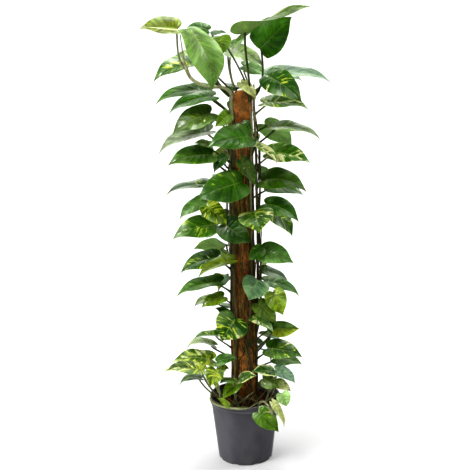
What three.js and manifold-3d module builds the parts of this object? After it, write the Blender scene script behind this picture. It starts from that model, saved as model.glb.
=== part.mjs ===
// Potted golden pothos: leafy vines that climb a coir pole in a plastic grow pot.
// Millimetres, +Z up, the front is -Y. The origin is the centre of the pot's underside.
import * as THREE from "three";
import { mergeVertices } from "three/addons/utils/BufferGeometryUtils.js";
import Module from "manifold-3d";

const wasm = await Module();
wasm.setup();

// Pot
const potHeight = 223;
const potFootRadius = 93;
const potWallTop = 202;
const potWallTopRadius = 115.5;
const potRimRadius = 120;
const potWall = 2.2;
const potFloor = 3;
const potSides = 36;
const drainCount = 8;
const drainWidth = 20;
const drainHeight = 6;
const drainDepth = 18;

// Soil and pole
const fitGap = 0.35;
const soilBottom = potFloor + fitGap;
const soilLevel = 197;
const poleTop = 1262;
const poleTopRadius = 34.5;
const poleFootRadius = 39;
const poleFootZ = 18;
const stakeRadius = 12.5;
const stakeTop = 1215;
const poleSides = 24;
const coirWaves = 8;
const coirSideTop = 1222;

// Stems, petioles and blades
const stemClear = 0.5;
const stemSides = 5;
const petioleSides = 3;
const petioleRadii = [1.5, 2.8, 2.5, 2.1, 1.2];
const shortPetioleRadii = [1.5, 2.6, 2.1, 1.2];
const shortPetiole = 75;
const rootDrop = { share: 0.55, least: 12, most: 90 };
const jointShare = 0.05;
const neckLength = 5;
const bladeThickness = 1.0;
const widthRatio = 0.74;
const widestBlade = 118;
const smallBlade = 84;
const mergeTolerance = 0.12;

// The eye from which the leaves' places were judged: in front of the plant and above its top
const eye = new THREE.Vector3(-26, -3300, 1615);
const up = new THREE.Vector3(0, 0, 1);

const vec = (x, y, z) => new THREE.Vector3(x, y, z);
const radians = THREE.MathUtils.degToRad;

// A point at depth y that the eye sees in front of the point (x, 0, z)
function seen(x, z, y) {
  const share = (y - eye.y) / -eye.y;
  return vec(eye.x + (x - eye.x) * share, y, eye.z + (z - eye.z) * share);
}

function poleRadius(z) {
  return THREE.MathUtils.mapLinear(z, 0, poleTop, poleFootRadius, poleTopRadius);
}

function roundThePole(azimuth, z, lift, stemRadius) {
  const radius = poleRadius(z) + stemClear + stemRadius + lift;
  return vec(radius * Math.cos(radians(azimuth)), radius * Math.sin(radians(azimuth)), z);
}

// Climbing stems: azimuth from +X, height, and distance of the stem's side from the coir
const CLIMBERS = {
  vine_right: { radius: 3.4, route: [
    [-14, 155, 4], [-12, 330, 0], [-4, 520, 1], [-9, 640, 7], [-6, 760, 9], [-14, 900, 8],
    [-6, 1040, 7], [-12, 1150, 5], [-4, 1250, 1], [-8, 1290, 4],
  ] },
  vine_front_right: { radius: 3.2, route: [
    [-66, 155, 6], [-60, 330, 0], [-74, 420, 0], [-62, 520, 0], [-50, 660, 1], [-42, 800, 0],
    [-50, 960, 0], [-36, 1110, 1], [-44, 1230, 0],
  ] },
  vine_front_left: { radius: 3.4, route: [
    [-128, 155, 6], [-134, 330, 0], [-126, 480, 0], [-138, 640, 0], [-130, 800, 0], [-142, 950, 0],
    [-134, 1100, 0], [-142, 1230, 0], [-146, 1262, 8],
  ] },
  vine_left: { radius: 3.2, route: [
    [184, 155, 5], [188, 340, 0], [180, 500, 2], [187, 660, 0], [181, 820, 2], [189, 980, 0],
    [182, 1130, 0], [188, 1245, 0],
  ] },
  vine_back_left: { radius: 3.2, route: [
    [122, 155, 5], [128, 360, 0], [120, 560, 0], [130, 760, 0], [122, 960, 0], [128, 1150, 0], [120, 1265, 2],
  ] },
  vine_back_right: { radius: 3.2, route: [
    [58, 155, 5], [52, 360, 0], [62, 560, 0], [54, 760, 0], [62, 960, 0], [54, 1150, 0], [60, 1262, 2],
  ] },
};

// The front left vine's young end leaves the pole and arches out to the left
const youngEnd = [
  seen(-60, 1272, -28), seen(-112, 1276, -40), seen(-155, 1298, -42), seen(-172, 1328, -36),
  seen(-182, 1366, -30), seen(-186, 1404, -26), seen(-190, 1440, -24),
];

// Short shoots from the soil: points on the stem, in real millimetres
const SHOOTS = {
  shoot_left: { radius: 3, route: [
    [-64, -42, 155], [-70, -50, 215], [-86, -66, 262], [-104, -72, 296], [-118, -76, 318],
  ] },
  shoot_rim: { radius: 2.4, route: [
    [-74, -12, 155], [-84, -22, 214], [-106, -40, 236], [-116, -68, 234], [-94, -103, 229],
    [-52, -127, 227], [-14, -134, 227], [14, -131, 229],
  ] },
  shoot_front: { radius: 2.6, route: [
    [-26, -66, 155], [-28, -70, 215], [-32, -76, 252], [-26, -84, 282],
  ] },
  shoot_right: { radius: 3, route: [
    [66, -40, 155], [72, -46, 215], [84, -54, 262], [100, -58, 296], [106, -56, 312],
  ] },
  shoot_runner: { radius: 2.6, route: [
    [40, -74, 155], [44, -82, 210], [58, -100, 236], [72, -122, 236], [86, -134, 214], [100, -138, 176],
  ] },
};

// Each leaf: stem it grows on, base x z y, tip x z y, width seen from the front, and its manner.
// x and z are read on the plane y = 0 and seen() carries them to depth y.
// fold: degrees each half is raised. arch: rise of the midrib over its length. wide: true width.
// under: the underside is seen. flip: it leans the other way. twist: degrees it turns over its length.
// halves: each half's share of its width. lobes: depth of the heart's lobes. belly: fuller near the tip.
// lift: height of the base above the petiole's root.
const LEAVES = [
  // Crown
  ["vine_front_left", -198, 1456, -14, -318, 1458, -16, 62, { fold: 38, arch: 0.02, halves: [0.7, 1.1] }],
  ["vine_left", -166, 1456, -76, -98, 1260, -108, 104, { fold: 10, wide: 126, arch: 0.19, lift: 210, flip: true, lobes: 0.4, belly: 1 }],
  ["vine_left", -102, 1452, 10, -168, 1461, 22, 34, {}],
  ["vine_left", -90, 1440, 24, -40, 1438, 30, 14, {}],
  ["vine_front_right", -64, 1432, -20, -56, 1374, -34, 66, { wide: 66, fold: 6, lift: 190, lobes: 0.6 }],
  ["vine_left", -140, 1352, 36, -281, 1290, 14, 60, { fold: 24 }],
  ["vine_back_left", -150, 1376, 100, -224, 1352, 124, 25, {}],
  ["vine_front_right", 2, 1437, -30, 222, 1520, -58, 16, { wide: 118, arch: 0.02, twist: 105, lift: 210, halves: [0.45, 1] }],
  ["vine_right", 60, 1390, 20, 163, 1488, -2, 120, { wide: 124, fold: 8, arch: -0.02, lift: 150, lobes: 0.2, belly: 0.3, halves: [1.1, 0.85] }],
  ["vine_right", 90, 1312, 26, 290, 1278, 34, 40, { wide: 96, arch: 0.08 }],
  ["vine_back_right", 95, 1312, 74, 198, 1282, 96, 34, {}],
  ["vine_right", 86, 1304, -30, 196, 1222, -64, 86, { fold: 12 }],
  ["vine_back_left", -34, 1386, 66, 70, 1330, 62, 52, { arch: 0.12 }],
  ["vine_back_left", -46, 1384, 112, 22, 1422, 136, 30, {}],
  ["vine_back_right", 8, 1338, 92, 88, 1300, 104, 40, {}],
  ["vine_front_right", 0, 1286, -44, 46, 1230, -60, 36, {}],
  // Upper left
  ["vine_back_left", -103, 1262, 72, -277, 1214, 58, 44, { wide: 96, arch: 0.1 }],
  ["vine_left", -92, 1244, -20, -235, 1188, -40, 42, { wide: 96 }],
  ["vine_front_left", -100, 1190, -40, -222, 1117, -62, 76, { fold: 18 }],
  ["vine_left", -105, 1132, -14, -272, 1057, -30, 48, { fold: 20 }],
  ["vine_left", -98, 1085, -18, -155, 1092, -24, 26, {}],
  ["vine_front_left", -40, 1186, -62, -86, 1146, -84, 46, {}],
  ["vine_left", -101, 1055, -36, -242, 1021, -64, 70, { fold: 16 }],
  ["vine_back_left", -52, 1068, 62, -96, 1040, 70, 40, {}],
  ["vine_front_left", -54, 1050, -44, -92, 995, -62, 36, {}],
  ["vine_back_left", -110, 958, 36, -252, 918, 30, 30, {}],
  // Up the front
  ["vine_front_right", 24, 1112, -94, -112, 1082, -134, 84, { fold: 8, arch: 0.06, halves: [0.85, 1.15] }],
  ["vine_front_left", -2, 1156, -48, 16, 1096, -52, 60, {}],
  ["vine_front_right", 40, 1086, -64, 114, 1018, -98, 30, { fold: 20 }],
  ["vine_front_right", -4, 1036, -66, 38, 946, -72, 46, {}],
  ["vine_front_left", -4, 962, -76, -150, 904, -116, 104, { fold: 8, arch: 0.06 }],
  ["vine_left", -118, 905, 0, -208, 842, -14, 48, {}],
  ["vine_front_left", -118, 886, -64, -50, 818, -76, 66, { fold: 10 }],
  ["vine_front_left", -62, 824, -72, 26, 756, -98, 86, { fold: 8 }],
  ["vine_front_right", 40, 868, -74, 56, 790, -140, 116, { fold: 6, arch: 0.1, lobes: 0.6 }],
  ["vine_front_right", 48, 630, -62, 16, 558, -100, 92, { fold: 8, lobes: 0.6 }],
  ["vine_front_left", -30, 494, -66, -80, 416, -110, 112, { fold: 8, arch: 0.07, lobes: 1.5 }],
  // Upper right
  ["vine_right", 72, 1220, -22, 219, 1194, -40, 44, { fold: 16 }],
  ["vine_right", 102, 1143, -18, 257, 1092, -30, 32, { wide: 86, arch: 0.1 }],
  ["vine_back_right", 74, 1152, 48, 160, 1065, 68, 76, { under: true }],
  ["vine_right", 88, 1060, -12, 221, 1020, -36, 66, { fold: 16 }],
  ["vine_right", 66, 968, -32, 211, 928, -54, 72, { fold: 16, arch: 0.14 }],
  ["vine_back_right", 84, 948, 34, 200, 914, 40, 48, {}],
  ["vine_right", 76, 890, -26, 184, 826, -56, 66, { arch: 0.12 }],
  ["vine_back_right", 85, 882, 26, 163, 778, 34, 64, {}],
  // Middle left
  ["vine_left", -92, 822, -28, -234, 776, -62, 78, { fold: 14 }],
  ["vine_back_left", -82, 818, 30, -122, 774, 52, 34, {}],
  ["vine_back_left", -65, 740, 50, -164, 738, 88, 56, { under: true }],
  ["vine_left", -84, 712, -2, -209, 655, -18, 62, { fold: 14 }],
  ["vine_front_left", -34, 700, -66, -152, 640, -92, 40, { wide: 72, fold: 24 }],
  ["vine_left", -78, 625, -14, -227, 573, -26, 46, { wide: 84, fold: 22 }],
  ["vine_back_left", -50, 642, 40, -74, 612, 58, 24, {}],
  ["vine_back_left", -92, 562, 40, -168, 531, 48, 30, { arch: 0.2 }],
  ["vine_left", -68, 574, -24, -142, 533, -42, 46, {}],
  ["vine_left", -50, 500, -24, -98, 536, -30, 34, {}],
  ["vine_left", -90, 438, -18, -172, 422, -26, 24, { fold: 22 }],
  ["vine_back_left", -104, 404, 26, -200, 378, 30, 22, { arch: 0.24 }],
  // Middle right
  ["vine_right", 62, 728, -34, 167, 686, -64, 76, { arch: 0.15 }],
  ["vine_front_right", 62, 740, -52, 18, 698, -66, 46, {}],
  ["vine_back_right", 78, 712, 34, 106, 700, 44, 14, {}],
  ["vine_back_right", 62, 664, 76, 150, 620, 88, 30, {}],
  ["vine_right", 70, 626, -2, 187, 565, -12, 40, { wide: 76, arch: 0.1 }],
  ["vine_right", 98, 588, -54, 134, 506, -78, 72, { fold: 10 }],
  ["vine_front_right", 48, 548, -50, 107, 474, -72, 60, { fold: 10 }],
  ["vine_front_right", 98, 458, -42, 62, 507, -52, 42, {}],
  ["vine_right", 104, 456, -10, 188, 458, -18, 68, { fold: 36 }],
  ["vine_front_right", 30, 496, -70, 98, 442, -104, 34, {}],
  ["vine_back_right", 92, 432, 30, 42, 440, 48, 20, {}],
  ["vine_back_right", 62, 400, 34, 38, 426, 48, 20, {}],
  ["vine_right", 90, 434, 12, 122, 414, 18, 16, {}],
  ["vine_right", 80, 388, -34, 197, 352, -62, 70, { fold: 14 }],
  ["vine_back_right", 98, 350, 24, 198, 325, 36, 46, {}],
  // Foot, left of the pole
  ["shoot_left", -94, 342, -92, -22, 351, -108, 40, { fold: 14 }],
  ["shoot_left", -88, 322, -80, -52, 316, -86, 24, {}],
  ["shoot_left", -110, 350, -24, -247, 338, -30, 60, { fold: 14, arch: 0.08 }],
  ["shoot_left", -140, 312, -106, -277, 308, -128, 46, { arch: 0.06 }],
  ["shoot_left", -98, 314, -130, -118, 252, -160, 62, { fold: 8 }],
  ["shoot_left", -100, 262, -102, -60, 310, -124, 26, {}],
  ["shoot_rim", -150, 284, -40, -225, 247, -44, 22, { arch: 0.22 }],
  ["shoot_rim", -57, 178, -130, -96, 208, -122, 22, {}],
  ["shoot_front", -36, 272, -102, -88, 262, -142, 26, {}],
  ["shoot_front", -24, 266, -88, -74, 202, -112, 46, {}],
  // Foot, right of the pole
  ["shoot_front", -16, 278, -88, 42, 287, -112, 38, { fold: 18 }],
  ["shoot_right", 97, 303, -74, 24, 300, -96, 42, { fold: 16 }],
  ["shoot_right", 106, 310, -52, 171, 256, -58, 42, { arch: 0.14 }],
  ["shoot_right", 62, 278, -70, 120, 244, -96, 52, {}],
  ["shoot_right", 108, 264, -60, 158, 230, -70, 36, {}],
  ["shoot_right", 128, 224, -84, 143, 174, -94, 50, { arch: 0.1 }],
  ["shoot_runner", 46, 155, -128, 117, 81, -150, 66, { fold: 8 }],
  ["shoot_runner", 94, 190, -142, 132, 96, -154, 24, { wide: 48 }],
];

// Leaves round the back, in turn on two stems: first height, rise between leaves, mean length,
// and degrees that each stem's leaves turn from straight back, with their spread
const backFirstZ = 300;
const backRise = 54;
const backCount = 19;
const backLength = 130;
const backTurn = 26;
const backSpread = 28;
const seed = 108;

// Small repeatable random numbers from 0 to 1
function makeRandom(start) {
  let state = start;
  return () => {
    state = (state * 16807) % 2147483647;
    return state / 2147483647;
  };
}

// Blade outline, one half: distance along the midrib as a share of the length, and out from it as a share of the width
const fullMargin = [
  [-0.08, 0.11], [-0.11, 0.27], [-0.02, 0.43], [0.19, 0.5], [0.45, 0.46], [0.7, 0.31], [0.88, 0.12],
];
const fullInner = [[0.08, 0.24], [0.46, 0.23]];
const fullRib = [0.22, 0.5, 0.78];
// Corners of one half: b base, t tip, m margin, i inner row, r midrib
const fullFaces = "b m0 i0|m0 m1 i0|m1 m2 i0|m2 m3 i0|b i0 r0|m3 i1 i0|r0 i0 i1|m3 m4 i1|m4 m5 i1|"
  + "r0 i1 r1|i1 m5 r2|r1 i1 r2|m5 m6 r2|m6 t r2";
const lightMargin = [[-0.1, 0.2], [-0.01, 0.44], [0.32, 0.48], [0.72, 0.26]];
const lightRib = [0.34, 0.7];
const lightFaces = "b m0 m1|b m1 r0|m1 m2 r0|r0 m2 r1|m2 m3 r1|m3 t r1";

// The blade's axes, size and curvature from its base, tip, seen width and manner
function bladeFrame(base, tip, seenWidth, manner) {
  const along = tip.clone().sub(base);
  const length = along.length();
  along.normalize();
  const width = manner.wide ?? Math.max(seenWidth, Math.min(widthRatio * length, widestBlade));
  const toEye = eye.clone().sub(base).normalize();
  const facing = toEye.addScaledVector(along, -toEye.dot(along)).normalize();
  const skyward = new THREE.Vector3().crossVectors(along, facing).normalize();
  const outward = vec(base.x, base.y, 0).normalize().multiplyScalar(0.6).add(up);
  if (skyward.dot(outward) < 0) skyward.negate();
  if (manner.flip) skyward.negate();
  const turn = Math.acos(Math.min(1, seenWidth / width));
  const normal = facing.multiplyScalar(Math.cos(turn) * (manner.under ? -1 : 1));
  normal.addScaledVector(skyward, Math.sin(turn)).normalize();
  return shapeFrame(base, along, normal, length, width, manner);
}

function shapeFrame(base, along, normal, length, width, manner) {
  const across = new THREE.Vector3().crossVectors(normal, along).normalize();
  const fold = radians(manner.fold ?? 14);
  const twist = radians(manner.twist ?? 0);
  const { arch = 0.07, halves = [1, 1], lobes = 1, belly = 0 } = manner;
  return { base, along, normal, across, length, width, fold, twist, arch, halves, lobes, belly };
}

// A point of the blade's middle surface: s along the midrib, t out from it, both as shares
function onBlade(frame, s, t) {
  const { base, along, normal, across, length, width, fold, twist, arch, halves, lobes, belly } = frame;
  const out = Math.abs(t) * width * halves[t > 0 ? 0 : 1] * (1 + belly * (s - 0.4));
  const hook = 0.07 * length * (s - Math.max(0, (s - 0.7) / 0.3) ** 2);
  const wave = 0.022 * width * Math.sin(9.5 * s + (t > 0 ? 0 : 1.9)) * (2 * t) ** 2;
  const cup = 0.34 * out * Math.abs(t);
  const rise = out * Math.sin(fold) - cup + wave;
  const turn = twist * (s - 0.45);
  const sideways = Math.sign(t) * out * Math.cos(fold);
  return base.clone()
    .addScaledVector(along, (s < 0 ? s * lobes : s) * length)
    .addScaledVector(across, sideways * Math.cos(turn) - rise * Math.sin(turn))
    .addScaledVector(normal, rise * Math.cos(turn) + sideways * Math.sin(turn))
    .addScaledVector(normal, length * arch * 4 * s * (1 - s) + hook);
}

// A thin closed blade: both faces share one pattern of triangles, and a narrow edge joins them
function bladeGeometry(frame) {
  const light = frame.length < smallBlade;
  const margin = light ? lightMargin : fullMargin;
  const rib = light ? lightRib : fullRib;
  const inner = light ? [] : fullInner;
  const faces = (light ? lightFaces : fullFaces).split("|").map((face) => face.split(" "));
  const number = new Map();
  const points = [];
  const add = (key, s, t) => {
    number.set(key, points.length);
    points.push(onBlade(frame, s, t));
  };
  add("b", 0, 0);
  add("t", 1, 0);
  rib.forEach((s, i) => add(`r${i}`, s, 0));
  for (const side of [1, -1]) {
    margin.forEach(([s, t], i) => add(`m${i}${side}`, s, side * t));
    inner.forEach(([s, t], i) => add(`i${i}${side}`, s, side * t));
  }
  const find = (key, side) => number.get(/^[mi]/.test(key) ? key + side : key);
  const half = frame.normal.clone().multiplyScalar(bladeThickness / 2);
  const positions = [];
  for (const sign of [1, -1]) {
    for (const p of points) positions.push(...p.clone().addScaledVector(half, sign).toArray());
  }
  const index = [];
  const below = points.length;
  for (const side of [1, -1]) {
    for (const face of faces) {
      const [a, b, c] = face.map((key) => find(key, side));
      if (side > 0) index.push(a, c, b, a + below, b + below, c + below);
      else index.push(a, b, c, a + below, c + below, b + below);
    }
  }
  const left = margin.map((_, i) => find(`m${i}`, 1));
  const right = margin.map((_, i) => find(`m${i}`, -1));
  const loop = [find("b", 1), ...right, find("t", 1), ...left.reverse()];
  loop.forEach((a, i) => {
    const b = loop[(i + 1) % loop.length];
    index.push(a, a + below, b, b, a + below, b + below);
  });
  const geometry = new THREE.BufferGeometry();
  geometry.setAttribute("position", new THREE.Float32BufferAttribute(positions, 3));
  geometry.setIndex(index);
  return geometry;
}

// A closed tapering tube through the points, with flat ends
function tubeGeometry(points, sides, radii) {
  const positions = [];
  const index = [];
  let normal = null;
  points.forEach((point, i) => {
    const next = points[Math.min(i + 1, points.length - 1)];
    const tangent = next.clone().sub(points[Math.max(i - 1, 0)]).normalize();
    if (!normal) normal = vec(tangent.y, -tangent.x, 0.3).cross(tangent);
    normal.addScaledVector(tangent, -normal.dot(tangent)).normalize();
    const side = new THREE.Vector3().crossVectors(tangent, normal);
    const radius = radii[i];
    for (let k = 0; k < sides; k++) {
      const angle = 2 * Math.PI * k / sides;
      const p = point.clone().addScaledVector(normal, radius * Math.cos(angle));
      positions.push(...p.addScaledVector(side, radius * Math.sin(angle)).toArray());
    }
  });
  for (let i = 0; i + 1 < points.length; i++) {
    for (let k = 0; k < sides; k++) {
      const a = i * sides + k;
      const b = i * sides + (k + 1) % sides;
      index.push(a, b, a + sides, b, b + sides, a + sides);
    }
  }
  const last = (points.length - 1) * sides;
  for (let k = 1; k + 1 < sides; k++) {
    index.push(0, k + 1, k, last, last + k, last + k + 1);
  }
  const geometry = new THREE.BufferGeometry();
  geometry.setAttribute("position", new THREE.Float32BufferAttribute(positions, 3));
  geometry.setIndex(index);
  return geometry;
}

function toSolid(source) {
  const geometry = source.clone();
  geometry.deleteAttribute("normal");
  geometry.deleteAttribute("uv");
  const merged = mergeVertices(geometry, 1e-4);
  const vertProperties = new Float32Array(merged.attributes.position.array);
  const triVerts = new Uint32Array(merged.index.array);
  return new wasm.Manifold(new wasm.Mesh({ numProp: 3, vertProperties, triVerts }));
}

function toGeometry(solid) {
  const { vertProperties, triVerts } = solid.getMesh();
  const geometry = new THREE.BufferGeometry();
  geometry.setAttribute("position", new THREE.BufferAttribute(vertProperties, 3));
  geometry.setIndex(new THREE.BufferAttribute(triVerts, 1));
  geometry.computeVertexNormals();
  return geometry;
}

// Smooth route of a climbing stem or of a shoot
function stemCurve(name) {
  const climber = CLIMBERS[name];
  let points;
  if (climber) {
    points = climber.route.map(([azimuth, z, lift]) => roundThePole(azimuth, z, lift, climber.radius));
    if (name === "vine_front_left") points.push(...youngEnd);
  } else {
    points = SHOOTS[name].route.map((p) => vec(...p));
  }
  return new THREE.CatmullRomCurve3(points, false, "catmullrom", 0.5);
}

const stems = {};
for (const name of [...Object.keys(CLIMBERS), ...Object.keys(SHOOTS)]) {
  const curve = stemCurve(name);
  const spans = curve.points.length - 1;
  const samples = Array.from({ length: 2 * spans + 1 }, (_, i) => curve.getPoint(i / (2 * spans)));
  const radius = (CLIMBERS[name] ?? SHOOTS[name]).radius;
  stems[name] = { curve, samples, radius, pieces: [] };
  const radii = samples.map((_, i) => radius * (1 - 0.28 * i / samples.length));
  stems[name].pieces.push(toSolid(tubeGeometry(samples, stemSides, radii)));
}

// The point of a stem from which a petiole leaves: below the leaf's base by more, the further out it is
function petioleRoot(stem, base, manner) {
  const reach = Math.hypot(base.x, base.y) - poleFootRadius;
  const { share, least, most } = rootDrop;
  const drop = manner.lift ?? THREE.MathUtils.clamp(share * reach, least, most);
  let best = null;
  const { samples } = stem;
  for (let i = 0; i < 12 * (samples.length - 1); i++) {
    const p = samples[Math.floor(i / 12)].clone().lerp(samples[Math.floor(i / 12) + 1], (i % 12) / 12);
    const miss = Math.abs(p.z - (base.z - drop)) + 0.35 * Math.hypot(p.x - base.x, p.y - base.y);
    if (p.z > soilLevel + 12 && (!best || miss < best.miss)) best = { p, miss };
  }
  return best.p;
}

// Bowed petiole from the stem to the blade: it comes up from below and ends inside the blade's thickness
function petiolePoints(stem, frame, manner) {
  const root = petioleRoot(stem, frame.base, manner);
  const joint = onBlade(frame, jointShare, 0);
  const rib = onBlade(frame, jointShare + 0.04, 0).sub(joint).normalize();
  const upward = frame.normal.clone().addScaledVector(rib, -frame.normal.dot(rib)).normalize();
  const neck = joint.clone().addScaledVector(upward, -neckLength);
  const span = neck.distanceTo(root);
  const toward = vec(neck.x - root.x, neck.y - root.y, 0).normalize();
  const leave = vec(root.x, root.y, 0).normalize().multiplyScalar(0.22);
  leave.addScaledVector(toward, 0.14).addScaledVector(up, 0.3);
  const arrive = rib.multiplyScalar(0.2).addScaledVector(upward, 0.25);
  const bow = new THREE.CubicBezierCurve3(
    root,
    root.clone().addScaledVector(leave, span),
    neck.clone().addScaledVector(arrive, -span * 0.6),
    neck,
  );
  return [...bow.getPoints(span < shortPetiole ? 2 : 3), joint];
}

function addLeaf(name, frame, manner) {
  const stem = stems[name];
  const petiole = petiolePoints(stem, frame, manner);
  const radii = petiole.length === petioleRadii.length ? petioleRadii : shortPetioleRadii;
  const tube = tubeGeometry(petiole, petioleSides, radii);
  const blade = toSolid(bladeGeometry(frame));
  const stalk = toSolid(tube);
  stem.pieces.push(stalk, blade);
}

for (const [name, bx, bz, by, tx, tz, ty, width, manner] of LEAVES) {
  addLeaf(name, bladeFrame(seen(bx, bz, by), seen(tx, tz, ty), width, manner), manner);
}

const random = makeRandom(seed);
const between = (low, high) => low + (high - low) * random();
for (let i = 0; i < backCount; i++) {
  const name = i % 2 ? "vine_back_right" : "vine_back_left";
  const azimuth = radians((i % 2 ? 90 - backTurn : 90 + backTurn) + between(-backSpread, backSpread));
  const height = backFirstZ + backRise * i + between(-12, 12);
  const length = backLength * between(0.78, 1.2);
  const reach = between(72, 112);
  const slope = radians(between(6, 50));
  const roll = radians(between(-26, 26));
  const manner = { fold: between(8, 24), arch: between(0.05, 0.13) };
  const out = vec(Math.cos(azimuth), Math.sin(azimuth), 0);
  const base = out.clone().multiplyScalar(reach).addScaledVector(up, height);
  const along = out.clone().multiplyScalar(Math.cos(slope)).addScaledVector(up, -Math.sin(slope));
  const normal = out.clone().multiplyScalar(Math.sin(slope)).addScaledVector(up, Math.cos(slope));
  normal.applyAxisAngle(along, roll);
  addLeaf(name, shapeFrame(base, along, normal, length, length * widthRatio, manner), manner);
}

// Pot: one thin-walled shell with a rim band and drain notches round the foot
function makePot() {
  const outer = [
    [0, 0], [potFootRadius - 3, 0], [potFootRadius, 3], [potWallTopRadius, potWallTop],
    [potWallTopRadius + 2.2, potWallTop + 1.6], [potRimRadius - 0.6, potHeight - 4],
    [potRimRadius, potHeight - 1.5], [potRimRadius - 1.2, potHeight],
  ];
  const inner = [
    [potRimRadius - 3, potHeight - 0.5], [potRimRadius - 3.4, potHeight - 5],
    [potWallTopRadius - 0.2, potWallTop + 3], [potWallTopRadius - potWall, potWallTop],
    [potFootRadius - potWall, potFloor], [0, potFloor],
  ];
  const profile = [...outer, ...inner].map(([r, z]) => new THREE.Vector2(r, z));
  let pot = toSolid(new THREE.LatheGeometry(profile, potSides).rotateX(Math.PI / 2));
  for (let i = 0; i < drainCount; i++) {
    const notch = new THREE.BoxGeometry(drainDepth, drainWidth, drainHeight * 2);
    notch.translate(potFootRadius, 0, 0).rotateZ(2 * Math.PI * (i + 0.5) / drainCount);
    pot = pot.subtract(toSolid(notch));
  }
  return pot;
}

// Soil: fills the pot up to just under the rim band, with plain holes for the pole and the stems
function makeSoil() {
  const wall = (z) => THREE.MathUtils.mapLinear(z, 3, potWallTop, potFootRadius, potWallTopRadius)
    - potWall - fitGap - 0.15;
  const profile = [
    [0, soilBottom], [wall(soilBottom) - 0.6, soilBottom], [wall(soilLevel - 6), soilLevel - 6],
    [wall(soilLevel) - 4, soilLevel - 1], [88, soilLevel + 2], [64, soilLevel], [0, soilLevel + 4],
  ].map(([r, z]) => new THREE.Vector2(r, z));
  let soil = toSolid(new THREE.LatheGeometry(profile, potSides).rotateX(Math.PI / 2));
  const holeRadius = poleFootRadius + 0.8;
  const poleHole = new THREE.CylinderGeometry(holeRadius, holeRadius, potHeight, poleSides);
  poleHole.rotateX(Math.PI / 2).translate(0, 0, poleFootZ - fitGap + potHeight / 2);
  soil = soil.subtract(toSolid(poleHole));
  for (const stem of Object.values(stems)) {
    const route = stem.samples.slice(0, 4);
    const down = route[0].clone().sub(route[1]).normalize();
    route[0].addScaledVector(down, fitGap + 0.1);
    const radius = stem.radius + fitGap + 0.5;
    soil = soil.subtract(toSolid(tubeGeometry(route, 8, route.map(() => radius))));
  }
  return soil;
}

// Coir sleeve: a tube of pressed fibre with a domed top and a wavy side
function makeCoir() {
  const dome = [[31, 1238], [27, 1250], [19, 1258], [9, 1261.5], [0, poleTop]];
  const bore = stakeRadius + fitGap;
  const side = [];
  for (let i = 0; i <= coirWaves; i++) {
    const z = THREE.MathUtils.lerp(poleFootZ, coirSideTop, i / coirWaves);
    side.push([poleRadius(z) - (i % 2 ? 0.9 : 0), z]);
  }
  const profile = [[bore, poleFootZ], ...side, ...dome, [0, stakeTop + fitGap], [bore, stakeTop + fitGap]];
  profile.push([bore, poleFootZ]);
  const points = profile.map(([r, z]) => new THREE.Vector2(r, z));
  return toSolid(new THREE.LatheGeometry(points, poleSides).rotateX(Math.PI / 2));
}

function makeStake() {
  const profile = [
    [0, poleFootZ], [stakeRadius - 2, poleFootZ], [stakeRadius, poleFootZ + 3],
    [stakeRadius, stakeTop - 2], [stakeRadius - 2, stakeTop], [0, stakeTop],
  ].map(([r, z]) => new THREE.Vector2(r, z));
  return toSolid(new THREE.LatheGeometry(profile, poleSides).rotateX(Math.PI / 2));
}

const group = new THREE.Group();
function addNode(name, solid, color, roughness) {
  const material = new THREE.MeshStandardMaterial({ color, roughness, metalness: 0 });
  const mesh = new THREE.Mesh(toGeometry(solid), material);
  mesh.name = name;
  group.add(mesh);
}

addNode("pot", makePot(), 0x4a494f, 0.5);
addNode("soil", makeSoil(), 0x2c1d15, 0.95);
addNode("pole_stake", makeStake(), 0xb08c5a, 0.8);
addNode("coir_sleeve", makeCoir(), 0x7c4a2c, 0.95);
for (const [name, stem] of Object.entries(stems)) {
  addNode(name, wasm.Manifold.union(stem.pieces).asOriginal().simplify(mergeTolerance), 0x3f7d2a, 0.45);
}

export default group;
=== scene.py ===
import math
from functools import partialmethod

import bmesh
import bpy
import numpy as np
from mathutils import Matrix, Vector, noise


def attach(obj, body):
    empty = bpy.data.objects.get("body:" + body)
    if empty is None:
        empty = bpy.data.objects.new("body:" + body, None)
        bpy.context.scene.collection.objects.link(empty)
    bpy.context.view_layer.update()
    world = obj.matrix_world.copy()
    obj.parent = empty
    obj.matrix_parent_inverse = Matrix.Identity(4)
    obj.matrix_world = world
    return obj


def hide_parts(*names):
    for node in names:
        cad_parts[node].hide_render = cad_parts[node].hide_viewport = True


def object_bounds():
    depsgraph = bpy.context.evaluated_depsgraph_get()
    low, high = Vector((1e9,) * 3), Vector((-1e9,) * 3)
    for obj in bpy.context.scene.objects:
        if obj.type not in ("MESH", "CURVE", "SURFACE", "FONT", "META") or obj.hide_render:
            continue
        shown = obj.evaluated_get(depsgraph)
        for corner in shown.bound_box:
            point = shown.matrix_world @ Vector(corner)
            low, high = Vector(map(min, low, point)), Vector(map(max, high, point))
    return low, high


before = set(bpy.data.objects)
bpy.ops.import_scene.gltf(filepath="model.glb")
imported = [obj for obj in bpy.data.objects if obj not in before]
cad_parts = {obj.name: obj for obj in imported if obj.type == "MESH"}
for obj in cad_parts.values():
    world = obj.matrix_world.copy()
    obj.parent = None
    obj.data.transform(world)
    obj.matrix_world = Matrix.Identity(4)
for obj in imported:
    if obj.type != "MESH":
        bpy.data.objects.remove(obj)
cad_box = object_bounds()

# Potted golden pothos. Metres, +Z up, the front is -Y. The origin is the centre of the pot's underside.
# A named pair of numbers is the range that a size is drawn from, or that it runs over.
# EYE is the point that the tables of leaves were read from.
TAU = 2 * math.pi
UP = np.array([0.0, 0.0, 1.0])
EYE = np.array([-0.026, -3.3, 1.615])

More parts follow.
